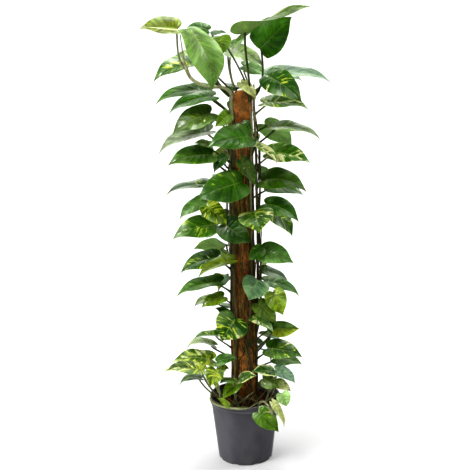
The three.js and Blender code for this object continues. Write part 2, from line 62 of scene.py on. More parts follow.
# Pot. The wall's rings of points are at shares of its height, from the corner at its foot.
POT_HEIGHT = 0.223
POT_FOOT_RADIUS = 0.093
POT_WALL_TOP = 0.202
POT_WALL_TOP_RADIUS = 0.1155
POT_RIM_RADIUS = 0.120
POT_WALL = 0.0022
POT_FLOOR = 0.003
POT_LIP = 0.0032
POT_SIDES = 144
CORNER_STEPS = 5
FOOT_CORNER = 1
WALL_RINGS = [0.035, 0.05, 0.07, 0.12, 0.3, 0.5, 0.7, 0.9]
DRAIN_COUNT = 8
DRAIN_WIDTH = 0.020
DRAIN_HEIGHT = 0.006
DRAIN_CUT = 0.009
DRAIN_BELOW = 0.004

# Soil
SOIL_BOTTOM = 0.0034
SOIL_LEVEL = 0.197
SOIL_CLEAR = 0.0006
SOIL_SIDES = 200
SOIL_RINGS = 56
SOIL_LUMPS = 0.0030
SOIL_GRAIN = 0.0024
SOIL_EDGE_DROP = 0.003
SOIL_SEED = 11
HOLE_RADIUS = 0.0395
HOLE_BOTTOM = 0.0175
CRUMB_COUNT = 420
CRUMB_SIZE = (0.0014, 0.0042)
CRUMB_LIFT = 0.001
CRUMB_FROM_WALL = 0.004

# Pole
POLE_TOP = 1.262
POLE_TOP_RADIUS = 0.0345
POLE_FOOT_RADIUS = 0.039
POLE_MEAN_RADIUS = 0.036
POLE_FOOT_Z = 0.018
POLE_SIDES = 132
POLE_RINGS = 520
POLE_SEED = 21
DOME_START = 1.234
BORE_RADIUS = 0.0128
BORE_TOP = 1.2155
COIR_LUMPS = 0.0021
COIR_GRAIN = 0.0009

# Loose fibres on the coir, litter on the soil, and old roots down the pole
FIBRE_COUNT = 2800
FIBRE_Z = (0.201, 1.250)
FIBRE_HIGHEST = 1.259
FIBRE_LENGTH = (0.010, 0.034)
FIBRE_RADIUS = (0.00014, 0.00030)
FIBRE_DEPTH = (-0.0006, 0.0004)
FIBRE_STAND_OFF = 0.0022
FIBRE_TONES = [(0.56, 0.16, 0.024), (0.85, 0.42, 0.130), (0.20, 0.045, 0.008), (0.70, 0.25, 0.050)]
LITTER_COUNT = 520
LITTER_START = 0.042
LITTER_REACH = 0.100
LITTER_SPREAD = 0.018
LITTER_LIFT = (0.002, 0.006)
LITTER_LENGTH = (0.005, 0.018)
LITTER_RADIUS = (0.0003, 0.0011)
ROOT_COUNT = 170
ROOT_START = (0.192, 0.95)
ROOT_LENGTH = (0.10, 0.42)
ROOT_RADIUS = (0.0006, 0.0024)
ROOT_TOP = 1.12
ROOT_TONES = [(0.100, 0.050, 0.016), (0.230, 0.130, 0.040), (0.090, 0.080, 0.018), (0.210, 0.200, 0.055)]
PALE_ROOT_AZIMUTH = -72
PALE_ROOT_Z = (0.310, 0.470)
PALE_ROOT_LIFT = 0.0016
PALE_ROOT_RADIUS = 0.0010
PALE_ROOT_TONE = (0.42, 0.30, 0.15)

# Stems, and the petioles from them to the blades
STEM_SEED = 4
STEM_CLEAR = 0.0005
STEM_STEPS = 4
SHOOT_STEPS = 14
STEM_WANDER = 3.2
STEM_FULLNESS = {"shoot_rim": 1.7, "vine_front_left": 1.8}
USUAL_FULLNESS = 1.25
STEM_JOINT_SWELL = 0.0009
TIP_TAPER = 14
STRAND_SHARE = 0.62
STRAND_SWAY = 0.016
STRAND_LIFT = 0.0042
STRAND_HEAVE = 0.0016
STEM_TONE = np.array([0.110, 0.140, 0.030])
OLD_TONE = np.array([0.110, 0.085, 0.028])
YOUNG_TONE = np.array([0.360, 0.380, 0.210])
JOINT_SHARE = 0.05
NECK_LENGTH = 0.005
BARE_STEM = 0.012
PETIOLE_DROP = (0.022, 0.130)
PETIOLE_RADIUS = 0.0022
PETIOLE_FOOT_SWELL = 0.0014
PETIOLE_NECK_SWELL = 0.0008
PETIOLE_END_RADIUS = 0.0008
PETIOLE_TONES = [
    (0.045, 0.075, 0.008), (0.050, 0.080, 0.010), (0.120, 0.170, 0.030), (0.045, 0.060, 0.010),
    (0.085, 0.120, 0.020), (0.180, 0.230, 0.060), (0.040, 0.045, 0.010),
]

# Roots that cling to the pole, roots that hang by it, and pale stalks across the mouth of the pot
BY_POLE = 0.020
ROOTS_BELOW_TOP = 0.03
CLING_REACH = 0.006
CLING_LENGTH = (0.02, 0.075)
CLING_RIPPLE = 0.003
CLING_RADIUS = (0.0011, 0.0004)
CLING_TONE = (0.10, 0.055, 0.022)
HANGING_ROOTS = {
    "vine_right": 18, "vine_left": 6, "vine_back_left": 5, "vine_back_right": 6, "vine_front_left": 3,
    "vine_front_right": 4,
}
HANG_DROP = (0.10, 0.30)
HANG_LOWEST = 0.217
HANG_OUT = (0.004, 0.016)
HANG_ASIDE = (-0.022, 0.022)
HANG_RIPPLE = 0.0012
HANG_RADIUS = (0.0010, 0.0021)
HANG_TONE = np.array([0.050, 0.040, 0.016])
STRAY_STALKS = 12
STRAY_FOOT_Z = 0.193
STRAY_START = (0.048, 0.075)
STRAY_OUT = (0.020, 0.034)
STRAY_RISE = (0.036, 0.075)
STRAY_RADIUS = (0.0020, 0.0011)

# Blades. The outline is one half of a blade: share of the length, share of the width.
WIDTH_RATIO = 0.74
WIDEST_BLADE = 0.118
OUTLINE = [
    (0, 0), (-0.08, 0.11), (-0.11, 0.27), (-0.02, 0.43), (0.19, 0.5), (0.45, 0.46), (0.69, 0.31),
    (0.86, 0.125), (0.94, 0.045), (1, 0),
]
BLADE_ROWS = 44
BLADE_COLUMNS = 7
SIDE_VEINS = 9
BLADE_HALF_THICKNESS = 0.00042
MARGIN_HALF_THICKNESS = 0.00016
FULL_RELIEF_LENGTH = 0.12
RIB_REACH = 0.0026
RIB_RIDGE = 0.0013
RIB_GROOVE = 0.0006
PUCKER = 0.0009
TIP_HOOK = 0.07
ROUNDNESS = 0.34
SIDE_BEND = 0.03
MARGIN_RIPPLE = 0.022
MARGIN_WAVE = 0.032

# Leaves round the back, in turn on two stems: first height, rise between leaves, mean length,
# and degrees that each stem's leaves turn from straight back, with their spread. The pairs are ranges.
BACK_FIRST_Z = 0.300
BACK_RISE = 0.054
BACK_SHIFT = (-0.012, 0.012)
BACK_COUNT = 19
BACK_LENGTH = 0.130
BACK_LENGTH_SHARE = (0.78, 1.2)
BACK_TURN = 26
BACK_SPREAD = 28
BACK_REACH = (0.072, 0.112)
BACK_SLOPE = (6, 50)
BACK_ROLL = (-26, 26)
BACK_FOLD = (8, 24)
BACK_ARCH = (0.05, 0.13)
BACK_SEED = 108
BACK_LOOKS = ["green", "streaked", "deep", "grey", "patched", "green", "golden", "creamy"]

# Colours of the materials. A pair goes from dark to light.
GOLD = (0.24, 0.33, 0.012), (0.56, 0.62, 0.070)
CREAM = (0.60, 0.66, 0.24), (0.80, 0.80, 0.46)
MIDRIB = (0.34, 0.44, 0.115)
# A pale grey green painted on patches of the blades as a sheen
PAINTED_SHEEN_TONE = (0.34, 0.46, 0.19)
UNDERSIDE = (0.26, 0.38, 0.13)
MARGIN = (0.36, 0.44, 0.13)
BARK = (0.16, 0.11, 0.045)
COIR = (0.042, 0.010, 0.002), (0.52, 0.165, 0.026)
COIR_FIBRE = (0.95, 0.56, 0.200)
OLD_COIR = (0.070, 0.036, 0.007), (0.340, 0.190, 0.044)
SOIL = (0.016, 0.008, 0.005), (0.090, 0.042, 0.020)
SOIL_GRIT = (0.26, 0.15, 0.080)
PLASTIC = (0.106, 0.104, 0.120), (0.134, 0.131, 0.147)
# A pale grey painted as a highlight along the bead under the rim and the lip
PAINTED_EDGE_HIGHLIGHT = (0.250, 0.245, 0.275)
DUST = (0.175, 0.160, 0.150)
SCUFF = (0.150, 0.150, 0.165)
PINE = (0.28, 0.17, 0.08), (0.52, 0.36, 0.19)
PINE_KNOT = (0.13, 0.07, 0.035)

# Camera and studio
CAMERA_PLACE = (-0.0262, -3.3, 1.61474)
CAMERA_DOWN = 0.24599
CAMERA_ROLL = 0.0142966
CAMERA_LENS = 78.946
CAMERA_SENSOR = 36
STUDIO_RADIUS = 60
STUDIO_SIDES = 96
FLOOR_SHADE = (0.57, 0.57, 0.57)
FLOOR_GLOW = 0.12
DOME_GLOW = 1.02
SKY_GLOW = 0.44
BACKDROP_GLOW = 0.85
SIDE_GLOW = 0.45

# Suns: the way towards each, its power, and its width in degrees
SUNS = {
    "key": ((-0.75, -0.60, 1.0), 1.42, 22),
    "top": ((-0.05, 0.10, 1.0), 1.45, 34),
    "rear": ((0.8, 0.20, 0.70), 0.50, 32),
}

# Climbing stems: radius, then azimuth from +X, height, and distance of the stem's side from the coir
CLIMBERS = {
    "vine_right": (0.0034, [
        (-14, 0.155, 0.004), (-12, 0.330, 0), (-4, 0.520, 0.001), (-9, 0.640, 0.007),
        (-6, 0.760, 0.009), (-14, 0.900, 0.008), (-6, 1.040, 0.007), (-12, 1.150, 0.005),
        (-4, 1.250, 0.001), (-8, 1.290, 0.004),
    ]),
    "vine_front_right": (0.0032, [
        (-66, 0.155, 0.006), (-60, 0.330, 0), (-74, 0.420, 0), (-62, 0.520, 0),
        (-50, 0.660, 0.001), (-42, 0.800, 0), (-50, 0.960, 0), (-36, 1.110, 0.001), (-44, 1.230, 0),
    ]),
    "vine_front_left": (0.0034, [
        (-128, 0.155, 0.006), (-134, 0.330, 0), (-126, 0.480, 0), (-138, 0.640, 0),
        (-130, 0.800, 0), (-142, 0.950, 0), (-134, 1.100, 0), (-142, 1.230, 0), (-146, 1.262, 0.008),
    ]),
    "vine_left": (0.0032, [
        (184, 0.155, 0.005), (188, 0.340, 0), (180, 0.500, 0.002), (187, 0.660, 0),
        (181, 0.820, 0.002), (189, 0.980, 0), (182, 1.130, 0), (188, 1.245, 0),
    ]),
    "vine_back_left": (0.0032, [
        (122, 0.155, 0.005), (128, 0.360, 0), (120, 0.560, 0), (130, 0.760, 0),
        (122, 0.960, 0), (128, 1.150, 0), (120, 1.265, 0.002),
    ]),
    "vine_back_right": (0.0032, [
        (58, 0.155, 0.005), (52, 0.360, 0), (62, 0.560, 0), (54, 0.760, 0),
        (62, 0.960, 0), (54, 1.150, 0), (60, 1.262, 0.002),
    ]),
}

# The front left vine's young end: x and z on the plane y = 0, and its true depth y
YOUNG_END = [
    (-0.060, 1.272, -0.028), (-0.112, 1.276, -0.040), (-0.155, 1.298, -0.042), (-0.172, 1.328, -0.036),
    (-0.182, 1.366, -0.030), (-0.186, 1.404, -0.026), (-0.190, 1.440, -0.024),
]

# Short shoots from the soil: radius, then points on the stem
SHOOTS = {
    "shoot_left": (0.0030, [
        (-0.064, -0.042, 0.155), (-0.070, -0.050, 0.215), (-0.086, -0.066, 0.262),
        (-0.104, -0.072, 0.296), (-0.118, -0.076, 0.318),
    ]),
    "shoot_rim": (0.0024, [
        (-0.074, -0.012, 0.155), (-0.084, -0.022, 0.214), (-0.106, -0.040, 0.236),
        (-0.116, -0.068, 0.234), (-0.094, -0.103, 0.229), (-0.052, -0.127, 0.227),
        (-0.014, -0.134, 0.227), (0.014, -0.131, 0.229),
    ]),
    "shoot_front": (0.0026, [
        (-0.026, -0.066, 0.155), (-0.028, -0.070, 0.215), (-0.032, -0.076, 0.252), (-0.026, -0.084, 0.282),
    ]),
    "shoot_right": (0.0030, [
        (0.066, -0.040, 0.155), (0.072, -0.046, 0.215), (0.084, -0.054, 0.262),
        (0.100, -0.058, 0.296), (0.106, -0.056, 0.312),
    ]),
    "shoot_runner": (0.0026, [
        (0.040, -0.074, 0.155), (0.044, -0.082, 0.210), (0.058, -0.100, 0.236),
        (0.072, -0.122, 0.236), (0.086, -0.134, 0.214), (0.100, -0.138, 0.176),
    ]),
}

# Colouring of a leaf: green, shares of yellow and cream, cream margin, the half that keeps the yellow,
# and how pale the midrib is and how strong the painted sheen on the blade is
LOOKS = {
    "deep": ((0.016, 0.066, 0.001), 0.00, 0.00, 0.0, 0, 0.4),
    "green": ((0.040, 0.118, 0.002), 0.06, 0.06, 0.0, 0, 0.5),
    "vivid": ((0.028, 0.108, 0.001), -0.2, -0.2, 0.0, 0, 0.3),
    "apple": ((0.090, 0.190, 0.004), 0.16, 0.14, 0.0, 0, 0.4),
    "flashed": ((0.034, 0.125, 0.002), 0.20, 0.02, 0.0, 0, 0.4),
    "inked": ((0.018, 0.080, 0.001), 0.24, 0.14, 0.0, 0, 0.4),
    "brushed": ((0.055, 0.145, 0.006), 0.10, 0.48, 0.0, 0, 0.6),
    "lime": ((0.170, 0.300, 0.006), 0.04, -0.2, 0.0, 0, 0.5),
    "olive": ((0.130, 0.200, 0.006), 0.12, 0.04, 0.0, 0, 0.5),
    "grey": ((0.085, 0.155, 0.022), 0.06, 0.16, 0.0, 0, 0.6),
    "blue": ((0.110, 0.180, 0.085), -0.2, -0.1, 0.0, 0, 0.5),
    # Painted sheen: a pale grey green that stands in for the sheen on these leaves
    "silver": ((0.190, 0.265, 0.165), -0.2, -0.1, 0.0, 0, 0.5),
    "pale": ((0.210, 0.310, 0.070), -0.1, 0.16, 0.0, 0, 0.6),
    "pallid": ((0.360, 0.450, 0.170), -0.2, 0.16, 0.0, 0, 0.6),
    "fresh": ((0.130, 0.240, 0.055), -0.1, -0.2, 0.0, 0, 0.5),
    "splashed": ((0.032, 0.110, 0.004), 0.34, 0.36, 0.0, 0, 0.6),
    "streaked": ((0.040, 0.128, 0.003), 0.28, 0.24, 0.0, 0, 0.5),
    "patched": ((0.032, 0.108, 0.003), 0.22, 0.18, 0.0, 0, 0.5),
    "yellowish": ((0.240, 0.320, 0.020), 0.20, 0.20, 0.0, 0, 0.6),
    "golden": ((0.100, 0.155, 0.002), 0.45, 0.10, 0.0, 0, 0.6),
    "marbled": ((0.055, 0.130, 0.004), 0.46, 0.40, 0.0, 0, 0.6),
    "creamy": ((0.100, 0.180, 0.026), 0.26, 0.68, 0.0, 0, 0.6),
    "edged": ((0.036, 0.112, 0.003), 0.10, 0.20, 1.0, 0, 0.6),
    "half_gold": ((0.110, 0.165, 0.020), 0.80, 0.04, 0.0, -1, 1.0),
    "gold_edge": ((0.125, 0.180, 0.002), -0.2, -0.2, 1.0, -1, 1.0),
}

# Each leaf: stem, base x z y, tip x z y, width seen from the front, colouring, and its manner if any.
# x and z are read on the plane y = 0 and seen() carries them to depth y.
# fold: degrees each half is raised. arch: rise of the midrib over its length. wide: true width.
# under: the underside is seen. flip: it leans the other way. twist: degrees it turns over its length.
# halves: each half's share of its width. lobes: depth of the heart's lobes. belly: fuller near the tip.
# lift: height of the base above the petiole's root. young: a pale petiole.
LEAVES = [
    # Crown
    ("vine_front_left", -0.198, 1.456, -0.014, -0.318, 1.458, -0.016, 0.062, "gold_edge",
        dict(fold=18, arch=0.02, halves=(0.7, 1.1), young=1)),
    ("vine_left", -0.166, 1.456, -0.076, -0.098, 1.260, -0.108, 0.104, "fresh",
        dict(fold=10, wide=0.126, arch=0.19, lift=0.210, flip=True, lobes=0.4, belly=1)),
    ("vine_left", -0.102, 1.452, 0.010, -0.168, 1.461, 0.022, 0.034, "green"),
    ("vine_left", -0.090, 1.440, 0.024, -0.040, 1.438, 0.030, 0.014, "deep"),
    ("vine_front_right", -0.064, 1.432, -0.020, -0.056, 1.374, -0.034, 0.066, "apple",
        dict(wide=0.066, fold=6, lift=0.190, lobes=0.6)),
    ("vine_left", -0.140, 1.352, 0.036, -0.281, 1.290, 0.014, 0.060, "streaked", dict(fold=24)),
    ("vine_back_left", -0.150, 1.376, 0.100, -0.224, 1.352, 0.124, 0.025, "grey"),
    ("vine_front_right", 0.002, 1.437, -0.030, 0.222, 1.520, -0.058, 0.016, "grey",
        dict(wide=0.118, arch=0.02, twist=105, lift=0.210, halves=(0.45, 1))),
    ("vine_right", 0.060, 1.390, 0.020, 0.163, 1.488, -0.002, 0.120, "vivid",
        dict(wide=0.124, fold=8, arch=-0.02, lift=0.150, lobes=0.2, belly=0.3, halves=(1.1, 0.85))),
    ("vine_right", 0.090, 1.312, 0.026, 0.290, 1.278, 0.034, 0.040, "silver", dict(wide=0.096, arch=0.08)),
    ("vine_back_right", 0.095, 1.312, 0.074, 0.198, 1.282, 0.096, 0.034, "silver"),
    ("vine_right", 0.086, 1.304, -0.030, 0.196, 1.222, -0.064, 0.086, "inked", dict(fold=12)),
    ("vine_back_left", -0.034, 1.386, 0.066, 0.070, 1.330, 0.062, 0.052, "grey", dict(arch=0.12)),
    ("vine_back_left", -0.046, 1.384, 0.112, 0.022, 1.422, 0.136, 0.030, "grey"),
    ("vine_back_right", 0.008, 1.338, 0.092, 0.088, 1.300, 0.104, 0.040, "fresh"),
    ("vine_front_right", 0.000, 1.286, -0.044, 0.046, 1.230, -0.060, 0.036, "pallid"),
    # Upper left
    ("vine_back_left", -0.103, 1.262, 0.072, -0.277, 1.214, 0.058, 0.044, "green",
        dict(wide=0.096, arch=0.1)),
    ("vine_left", -0.092, 1.244, -0.020, -0.235, 1.188, -0.040, 0.042, "green", dict(wide=0.096)),
    ("vine_front_left", -0.100, 1.190, -0.040, -0.222, 1.117, -0.062, 0.076, "grey", dict(fold=18)),
    ("vine_left", -0.105, 1.132, -0.014, -0.272, 1.057, -0.030, 0.048, "silver", dict(fold=20)),
    ("vine_left", -0.098, 1.085, -0.018, -0.155, 1.092, -0.024, 0.026, "pallid"),
    ("vine_front_left", -0.040, 1.186, -0.062, -0.086, 1.146, -0.084, 0.046, "olive"),
    ("vine_left", -0.101, 1.055, -0.036, -0.242, 1.021, -0.064, 0.070, "green", dict(fold=16)),
    ("vine_back_left", -0.052, 1.068, 0.062, -0.096, 1.040, 0.070, 0.040, "pallid"),
    ("vine_front_left", -0.054, 1.050, -0.044, -0.092, 0.995, -0.062, 0.036, "deep"),
    ("vine_back_left", -0.110, 0.958, 0.036, -0.252, 0.918, 0.030, 0.030, "inked"),
    # Up the front
    ("vine_front_right", 0.024, 1.112, -0.094, -0.112, 1.082, -0.134, 0.084, "vivid",
        dict(fold=8, arch=0.06, halves=(0.85, 1.15))),
    ("vine_front_left", -0.002, 1.156, -0.048, 0.016, 1.096, -0.052, 0.060, "deep"),
    ("vine_front_right", 0.040, 1.086, -0.064, 0.114, 1.018, -0.098, 0.030, "creamy", dict(fold=20)),
    ("vine_front_right", -0.004, 1.036, -0.066, 0.038, 0.946, -0.072, 0.046, "grey"),
    ("vine_front_left", -0.004, 0.962, -0.076, -0.150, 0.904, -0.116, 0.104, "flashed",
        dict(fold=8, arch=0.06)),
    ("vine_left", -0.118, 0.905, 0.000, -0.208, 0.842, -0.014, 0.048, "fresh"),
    ("vine_front_left", -0.118, 0.886, -0.064, -0.050, 0.818, -0.076, 0.066, "golden", dict(fold=10)),
    ("vine_front_left", -0.062, 0.824, -0.072, 0.026, 0.756, -0.098, 0.086, "deep", dict(fold=8)),
    ("vine_front_right", 0.040, 0.868, -0.074, 0.056, 0.790, -0.140, 0.116, "splashed",
        dict(fold=6, arch=0.1, lobes=0.6)),
    ("vine_front_right", 0.048, 0.630, -0.062, 0.016, 0.558, -0.100, 0.092, "blue",
        dict(fold=8, lobes=0.6)),
    ("vine_front_left", -0.030, 0.494, -0.066, -0.080, 0.416, -0.110, 0.112, "splashed",
        dict(fold=8, arch=0.07, lobes=1.5)),
    # Upper right
    ("vine_right", 0.072, 1.220, -0.022, 0.219, 1.194, -0.040, 0.044, "brushed", dict(fold=16)),
    ("vine_right", 0.102, 1.143, -0.018, 0.257, 1.092, -0.030, 0.032, "grey", dict(wide=0.086, arch=0.1)),
    ("vine_back_right", 0.074, 1.152, 0.048, 0.160, 1.065, 0.068, 0.076, "pallid", dict(under=True)),
    ("vine_right", 0.088, 1.060, -0.012, 0.221, 1.020, -0.036, 0.066, "brushed", dict(fold=16)),
    ("vine_right", 0.066, 0.968, -0.032, 0.211, 0.928, -0.054, 0.072, "green", dict(fold=16, arch=0.14)),
    ("vine_back_right", 0.084, 0.948, 0.034, 0.200, 0.914, 0.040, 0.048, "green"),
    ("vine_right", 0.076, 0.890, -0.026, 0.184, 0.826, -0.056, 0.066, "green", dict(arch=0.12)),
    ("vine_back_right", 0.085, 0.882, 0.026, 0.163, 0.778, 0.034, 0.064, "streaked"),
    # Middle left
    ("vine_left", -0.092, 0.822, -0.028, -0.234, 0.776, -0.062, 0.078, "streaked", dict(fold=14)),
    ("vine_back_left", -0.082, 0.818, 0.030, -0.122, 0.774, 0.052, 0.034, "fresh"),
    ("vine_back_left", -0.065, 0.740, 0.050, -0.164, 0.738, 0.088, 0.056, "pale", dict(under=True)),
    ("vine_left", -0.084, 0.712, -0.002, -0.209, 0.655, -0.018, 0.062, "inked", dict(fold=14)),
    ("vine_front_left", -0.034, 0.700, -0.066, -0.152, 0.640, -0.092, 0.040, "olive",
        dict(wide=0.072, fold=24)),
    ("vine_left", -0.078, 0.625, -0.014, -0.227, 0.573, -0.026, 0.046, "grey", dict(wide=0.084, fold=22)),
    ("vine_back_left", -0.050, 0.642, 0.040, -0.074, 0.612, 0.058, 0.024, "silver"),
    ("vine_back_left", -0.092, 0.562, 0.040, -0.168, 0.531, 0.048, 0.030, "grey", dict(arch=0.2)),
    ("vine_left", -0.068, 0.574, -0.024, -0.142, 0.533, -0.042, 0.046, "olive"),
    ("vine_left", -0.050, 0.500, -0.024, -0.098, 0.536, -0.030, 0.034, "grey"),
    ("vine_left", -0.090, 0.438, -0.018, -0.172, 0.422, -0.026, 0.024, "streaked", dict(fold=22)),
    ("vine_back_left", -0.104, 0.404, 0.026, -0.200, 0.378, 0.030, 0.022, "grey", dict(arch=0.24)),
    # Middle right
    ("vine_right", 0.062, 0.728, -0.034, 0.167, 0.686, -0.064, 0.076, "fresh", dict(arch=0.15)),
    ("vine_front_right", 0.062, 0.740, -0.052, 0.018, 0.698, -0.066, 0.046, "green"),
    ("vine_back_right", 0.078, 0.712, 0.034, 0.106, 0.700, 0.044, 0.014, "silver"),
    ("vine_back_right", 0.062, 0.664, 0.076, 0.150, 0.620, 0.088, 0.030, "deep"),
    ("vine_right", 0.070, 0.626, -0.002, 0.187, 0.565, -0.012, 0.040, "green", dict(wide=0.076, arch=0.1)),
    ("vine_right", 0.098, 0.588, -0.054, 0.134, 0.506, -0.078, 0.072, "yellowish", dict(fold=10)),
    ("vine_front_right", 0.048, 0.548, -0.050, 0.107, 0.474, -0.072, 0.060, "grey", dict(fold=10)),
    ("vine_front_right", 0.098, 0.458, -0.042, 0.062, 0.507, -0.052, 0.042, "deep"),
    ("vine_right", 0.104, 0.456, -0.010, 0.188, 0.458, -0.018, 0.068, "half_gold", dict(fold=36)),
    ("vine_front_right", 0.030, 0.496, -0.070, 0.098, 0.442, -0.104, 0.034, "brushed"),
    ("vine_back_right", 0.092, 0.432, 0.030, 0.042, 0.440, 0.048, 0.020, "silver"),
    ("vine_back_right", 0.062, 0.400, 0.034, 0.038, 0.426, 0.048, 0.020, "silver"),
    ("vine_right", 0.090, 0.434, 0.012, 0.122, 0.414, 0.018, 0.016, "silver"),
    ("vine_right", 0.080, 0.388, -0.034, 0.197, 0.352, -0.062, 0.070, "patched", dict(fold=14)),
    ("vine_back_right", 0.098, 0.350, 0.024, 0.198, 0.325, 0.036, 0.046, "green"),
    # Foot, left of the pole
    ("shoot_left", -0.094, 0.342, -0.092, -0.022, 0.351, -0.108, 0.040, "green", dict(fold=14)),
    ("shoot_left", -0.088, 0.322, -0.080, -0.052, 0.316, -0.086, 0.024, "golden"),
    ("shoot_left", -0.110, 0.350, -0.024, -0.247, 0.338, -0.030, 0.060, "marbled", dict(fold=14, arch=0.08)),
    ("shoot_left", -0.140, 0.312, -0.106, -0.277, 0.308, -0.128, 0.046, "marbled", dict(arch=0.06)),
    ("shoot_left", -0.098, 0.314, -0.130, -0.118, 0.252, -0.160, 0.062, "golden", dict(fold=8)),
    ("shoot_left", -0.100, 0.262, -0.102, -0.060, 0.310, -0.124, 0.026, "yellowish"),
    ("shoot_rim", -0.150, 0.284, -0.040, -0.225, 0.247, -0.044, 0.022, "green", dict(arch=0.22)),
    ("shoot_rim", -0.057, 0.178, -0.130, -0.096, 0.208, -0.122, 0.022, "yellowish"),
    ("shoot_front", -0.036, 0.272, -0.102, -0.088, 0.262, -0.142, 0.026, "grey"),
    ("shoot_front", -0.024, 0.266, -0.088, -0.074, 0.202, -0.112, 0.046, "lime"),
    # Foot, right of the pole
    ("shoot_front", -0.016, 0.278, -0.088, 0.042, 0.287, -0.112, 0.038, "edged", dict(fold=18)),
    ("shoot_right", 0.097, 0.303, -0.074, 0.024, 0.300, -0.096, 0.042, "edged", dict(fold=16)),
    ("shoot_right", 0.106, 0.310, -0.052, 0.171, 0.256, -0.058, 0.042, "silver", dict(arch=0.14)),
    ("shoot_right", 0.062, 0.278, -0.070, 0.120, 0.244, -0.096, 0.052, "grey"),
    ("shoot_right", 0.108, 0.264, -0.060, 0.158, 0.230, -0.070, 0.036, "creamy"),
    ("shoot_right", 0.128, 0.224, -0.084, 0.143, 0.174, -0.094, 0.050, "pallid", dict(arch=0.1)),
    ("shoot_runner", 0.046, 0.155, -0.128, 0.117, 0.081, -0.150, 0.066, "apple", dict(fold=8)),
    ("shoot_runner", 0.094, 0.190, -0.142, 0.132, 0.096, -0.154, 0.024, "pallid", dict(wide=0.048)),
]


def unit(vector):
    return vector / np.linalg.norm(vector)


def vec(*values):
    return np.array(values, float)


# Points at a distance and an azimuth in radians from the pole's axis
def around(reach, angle, z):
    return np.stack(np.broadcast_arrays(reach * np.cos(angle), reach * np.sin(angle), z), axis=-1)


# A point at depth y that the eye sees in front of the point (x, 0, z)
def seen(x, z, y):
    share = (y - EYE[1]) / -EYE[1]
    return vec(EYE[0] + (x - EYE[0]) * share, y, EYE[2] + (z - EYE[2]) * share)


def pole_radius(z):
    return POLE_FOOT_RADIUS + (POLE_TOP_RADIUS - POLE_FOOT_RADIUS) * z / POLE_TOP


# Uniform Catmull-Rom curve through the points, with mirrored end points
def smooth_curve(points, count):
    points = np.asarray(points, float)
    knots = np.vstack([2 * points[0] - points[1], points, 2 * points[-1] - points[-2]])
    place = np.linspace(0, len(points) - 1, count)
    first = np.minimum(place.astype(int), len(points) - 2)
    t = (place - first)[:, None]
    a, b, c, d = (knots[first + i] for i in range(4))
    return 0.5 * (2 * b + (c - a) * t + (2 * a - 5 * b + 4 * c - d) * t ** 2
                  + (3 * b - a - 3 * c + d) * t ** 3)


# A blade's place, axes, size and manner
class Leaf:
    fold, twist, arch = 14, 0, 0.07
    halves, lobes, belly = (1, 1), 1, 0
    lift = young = None

    def __init__(self, base, along, normal, length, width, manner):
        self.base, self.along, self.normal = base, along, normal
        self.across = unit(np.cross(normal, along))
        self.length, self.width = length, width
        vars(self).update(manner)

    # Points of the middle surface: s along the midrib, t out from it, both as shares
    def at(self, s, t):
        s, t = np.broadcast_arrays(np.asarray(s, float), np.asarray(t, float))
        fold, turn = math.radians(self.fold), math.radians(self.twist) * (s - 0.45)
        out = np.abs(t) * self.width * np.where(t > 0, *self.halves) * (1 + self.belly * (s - 0.4))
        hook = TIP_HOOK * self.length * (s - np.maximum(0, (s - 0.7) / 0.3) ** 2)
        wave = MARGIN_RIPPLE * self.width * np.sin(9.5 * s + np.where(t > 0, 0, 1.9)) * (2 * t) ** 2
        rise = out * math.sin(fold) - ROUNDNESS * out * np.abs(t) + wave
        sideways = np.sign(t) * out * math.cos(fold)
        across = sideways * np.cos(turn) - rise * np.sin(turn)
        bulge = self.length * self.arch * 4 * s * (1 - s)
        up = rise * np.cos(turn) + sideways * np.sin(turn) + bulge + hook
        forward = np.where(s < 0, s * self.lobes, s) * self.length
        return (self.base + forward[..., None] * self.along + across[..., None] * self.across
                + up[..., None] * self.normal)


# A leaf from its base, its tip, the width seen from the front and its manner
def seen_leaf(base, tip, seen_width, manner):
    length, along = np.linalg.norm(tip - base), unit(tip - base)
    width = manner.get("wide", max(seen_width, min(WIDTH_RATIO * length, WIDEST_BLADE)))
    to_eye = unit(EYE - base)
    facing = unit(to_eye - along * to_eye.dot(along))
    skyward = unit(np.cross(along, facing))
    outward = 0.6 * unit(base * vec(1, 1, 0)) + UP
    if (skyward.dot(outward) < 0) != manner.get("flip", False):
        skyward = -skyward
    turn = math.acos(min(1, seen_width / width))
    side = -1 if manner.get("under") else 1
    normal = unit(facing * math.cos(turn) * side + skyward * math.sin(turn))
    return Leaf(base, along, normal, length, width, manner)


def link(name, data):
    made = bpy.data.objects.new(name, data)
    bpy.context.scene.collection.objects.link(made)
    return made


# A mesh in the making: points, faces, their material slots, and values kept at the points
class Mesh:
    def __init__(self):
        self.points, self.faces, self.slots, self.values = [], [], [], {}
        self.count = 0

    def add(self, points, faces, slot=0, **values):
        points = np.asarray(points, float).reshape(-1, 3)
        self.faces += [tuple(int(i) + self.count for i in face) for face in faces]
        self.slots += [slot] * len(faces)
        self.points.append(points)
        self.count += len(points)
        for name, value in values.items():
            full = np.broadcast_to(np.asarray(value, float), (len(points), 3))
            self.values.setdefault(name, []).append(full)

    def data(self, name, *materials):
        mesh = bpy.data.meshes.new(name)
        mesh.from_pydata(np.vstack(self.points).tolist(), [], self.faces)
        for material in materials:
            mesh.materials.append(material)
        return mesh

    def build(self, name, materials, slot, replaces=None, sharp=50):
        mesh = self.data(name, *materials)
        mesh.polygons.foreach_set("material_index", self.slots)
        mesh.polygons.foreach_set("use_smooth", [True] * len(self.faces))
        mesh.set_sharp_from_angle(angle=math.radians(sharp))
        for key, parts in self.values.items():
            attribute = mesh.attributes.new(key, "FLOAT_VECTOR", "POINT")
            attribute.data.foreach_set("vector", np.vstack(parts).ravel())
        piece = link(name, mesh)
        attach(piece, "root")
        if replaces:
            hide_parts(replaces)
        return piece


# Faces between two rings of points, given the first point of each
def band(low, high, count):
    return [(low + k, low + (k + 1) % count, high + (k + 1) % count, high + k) for k in range(count)]


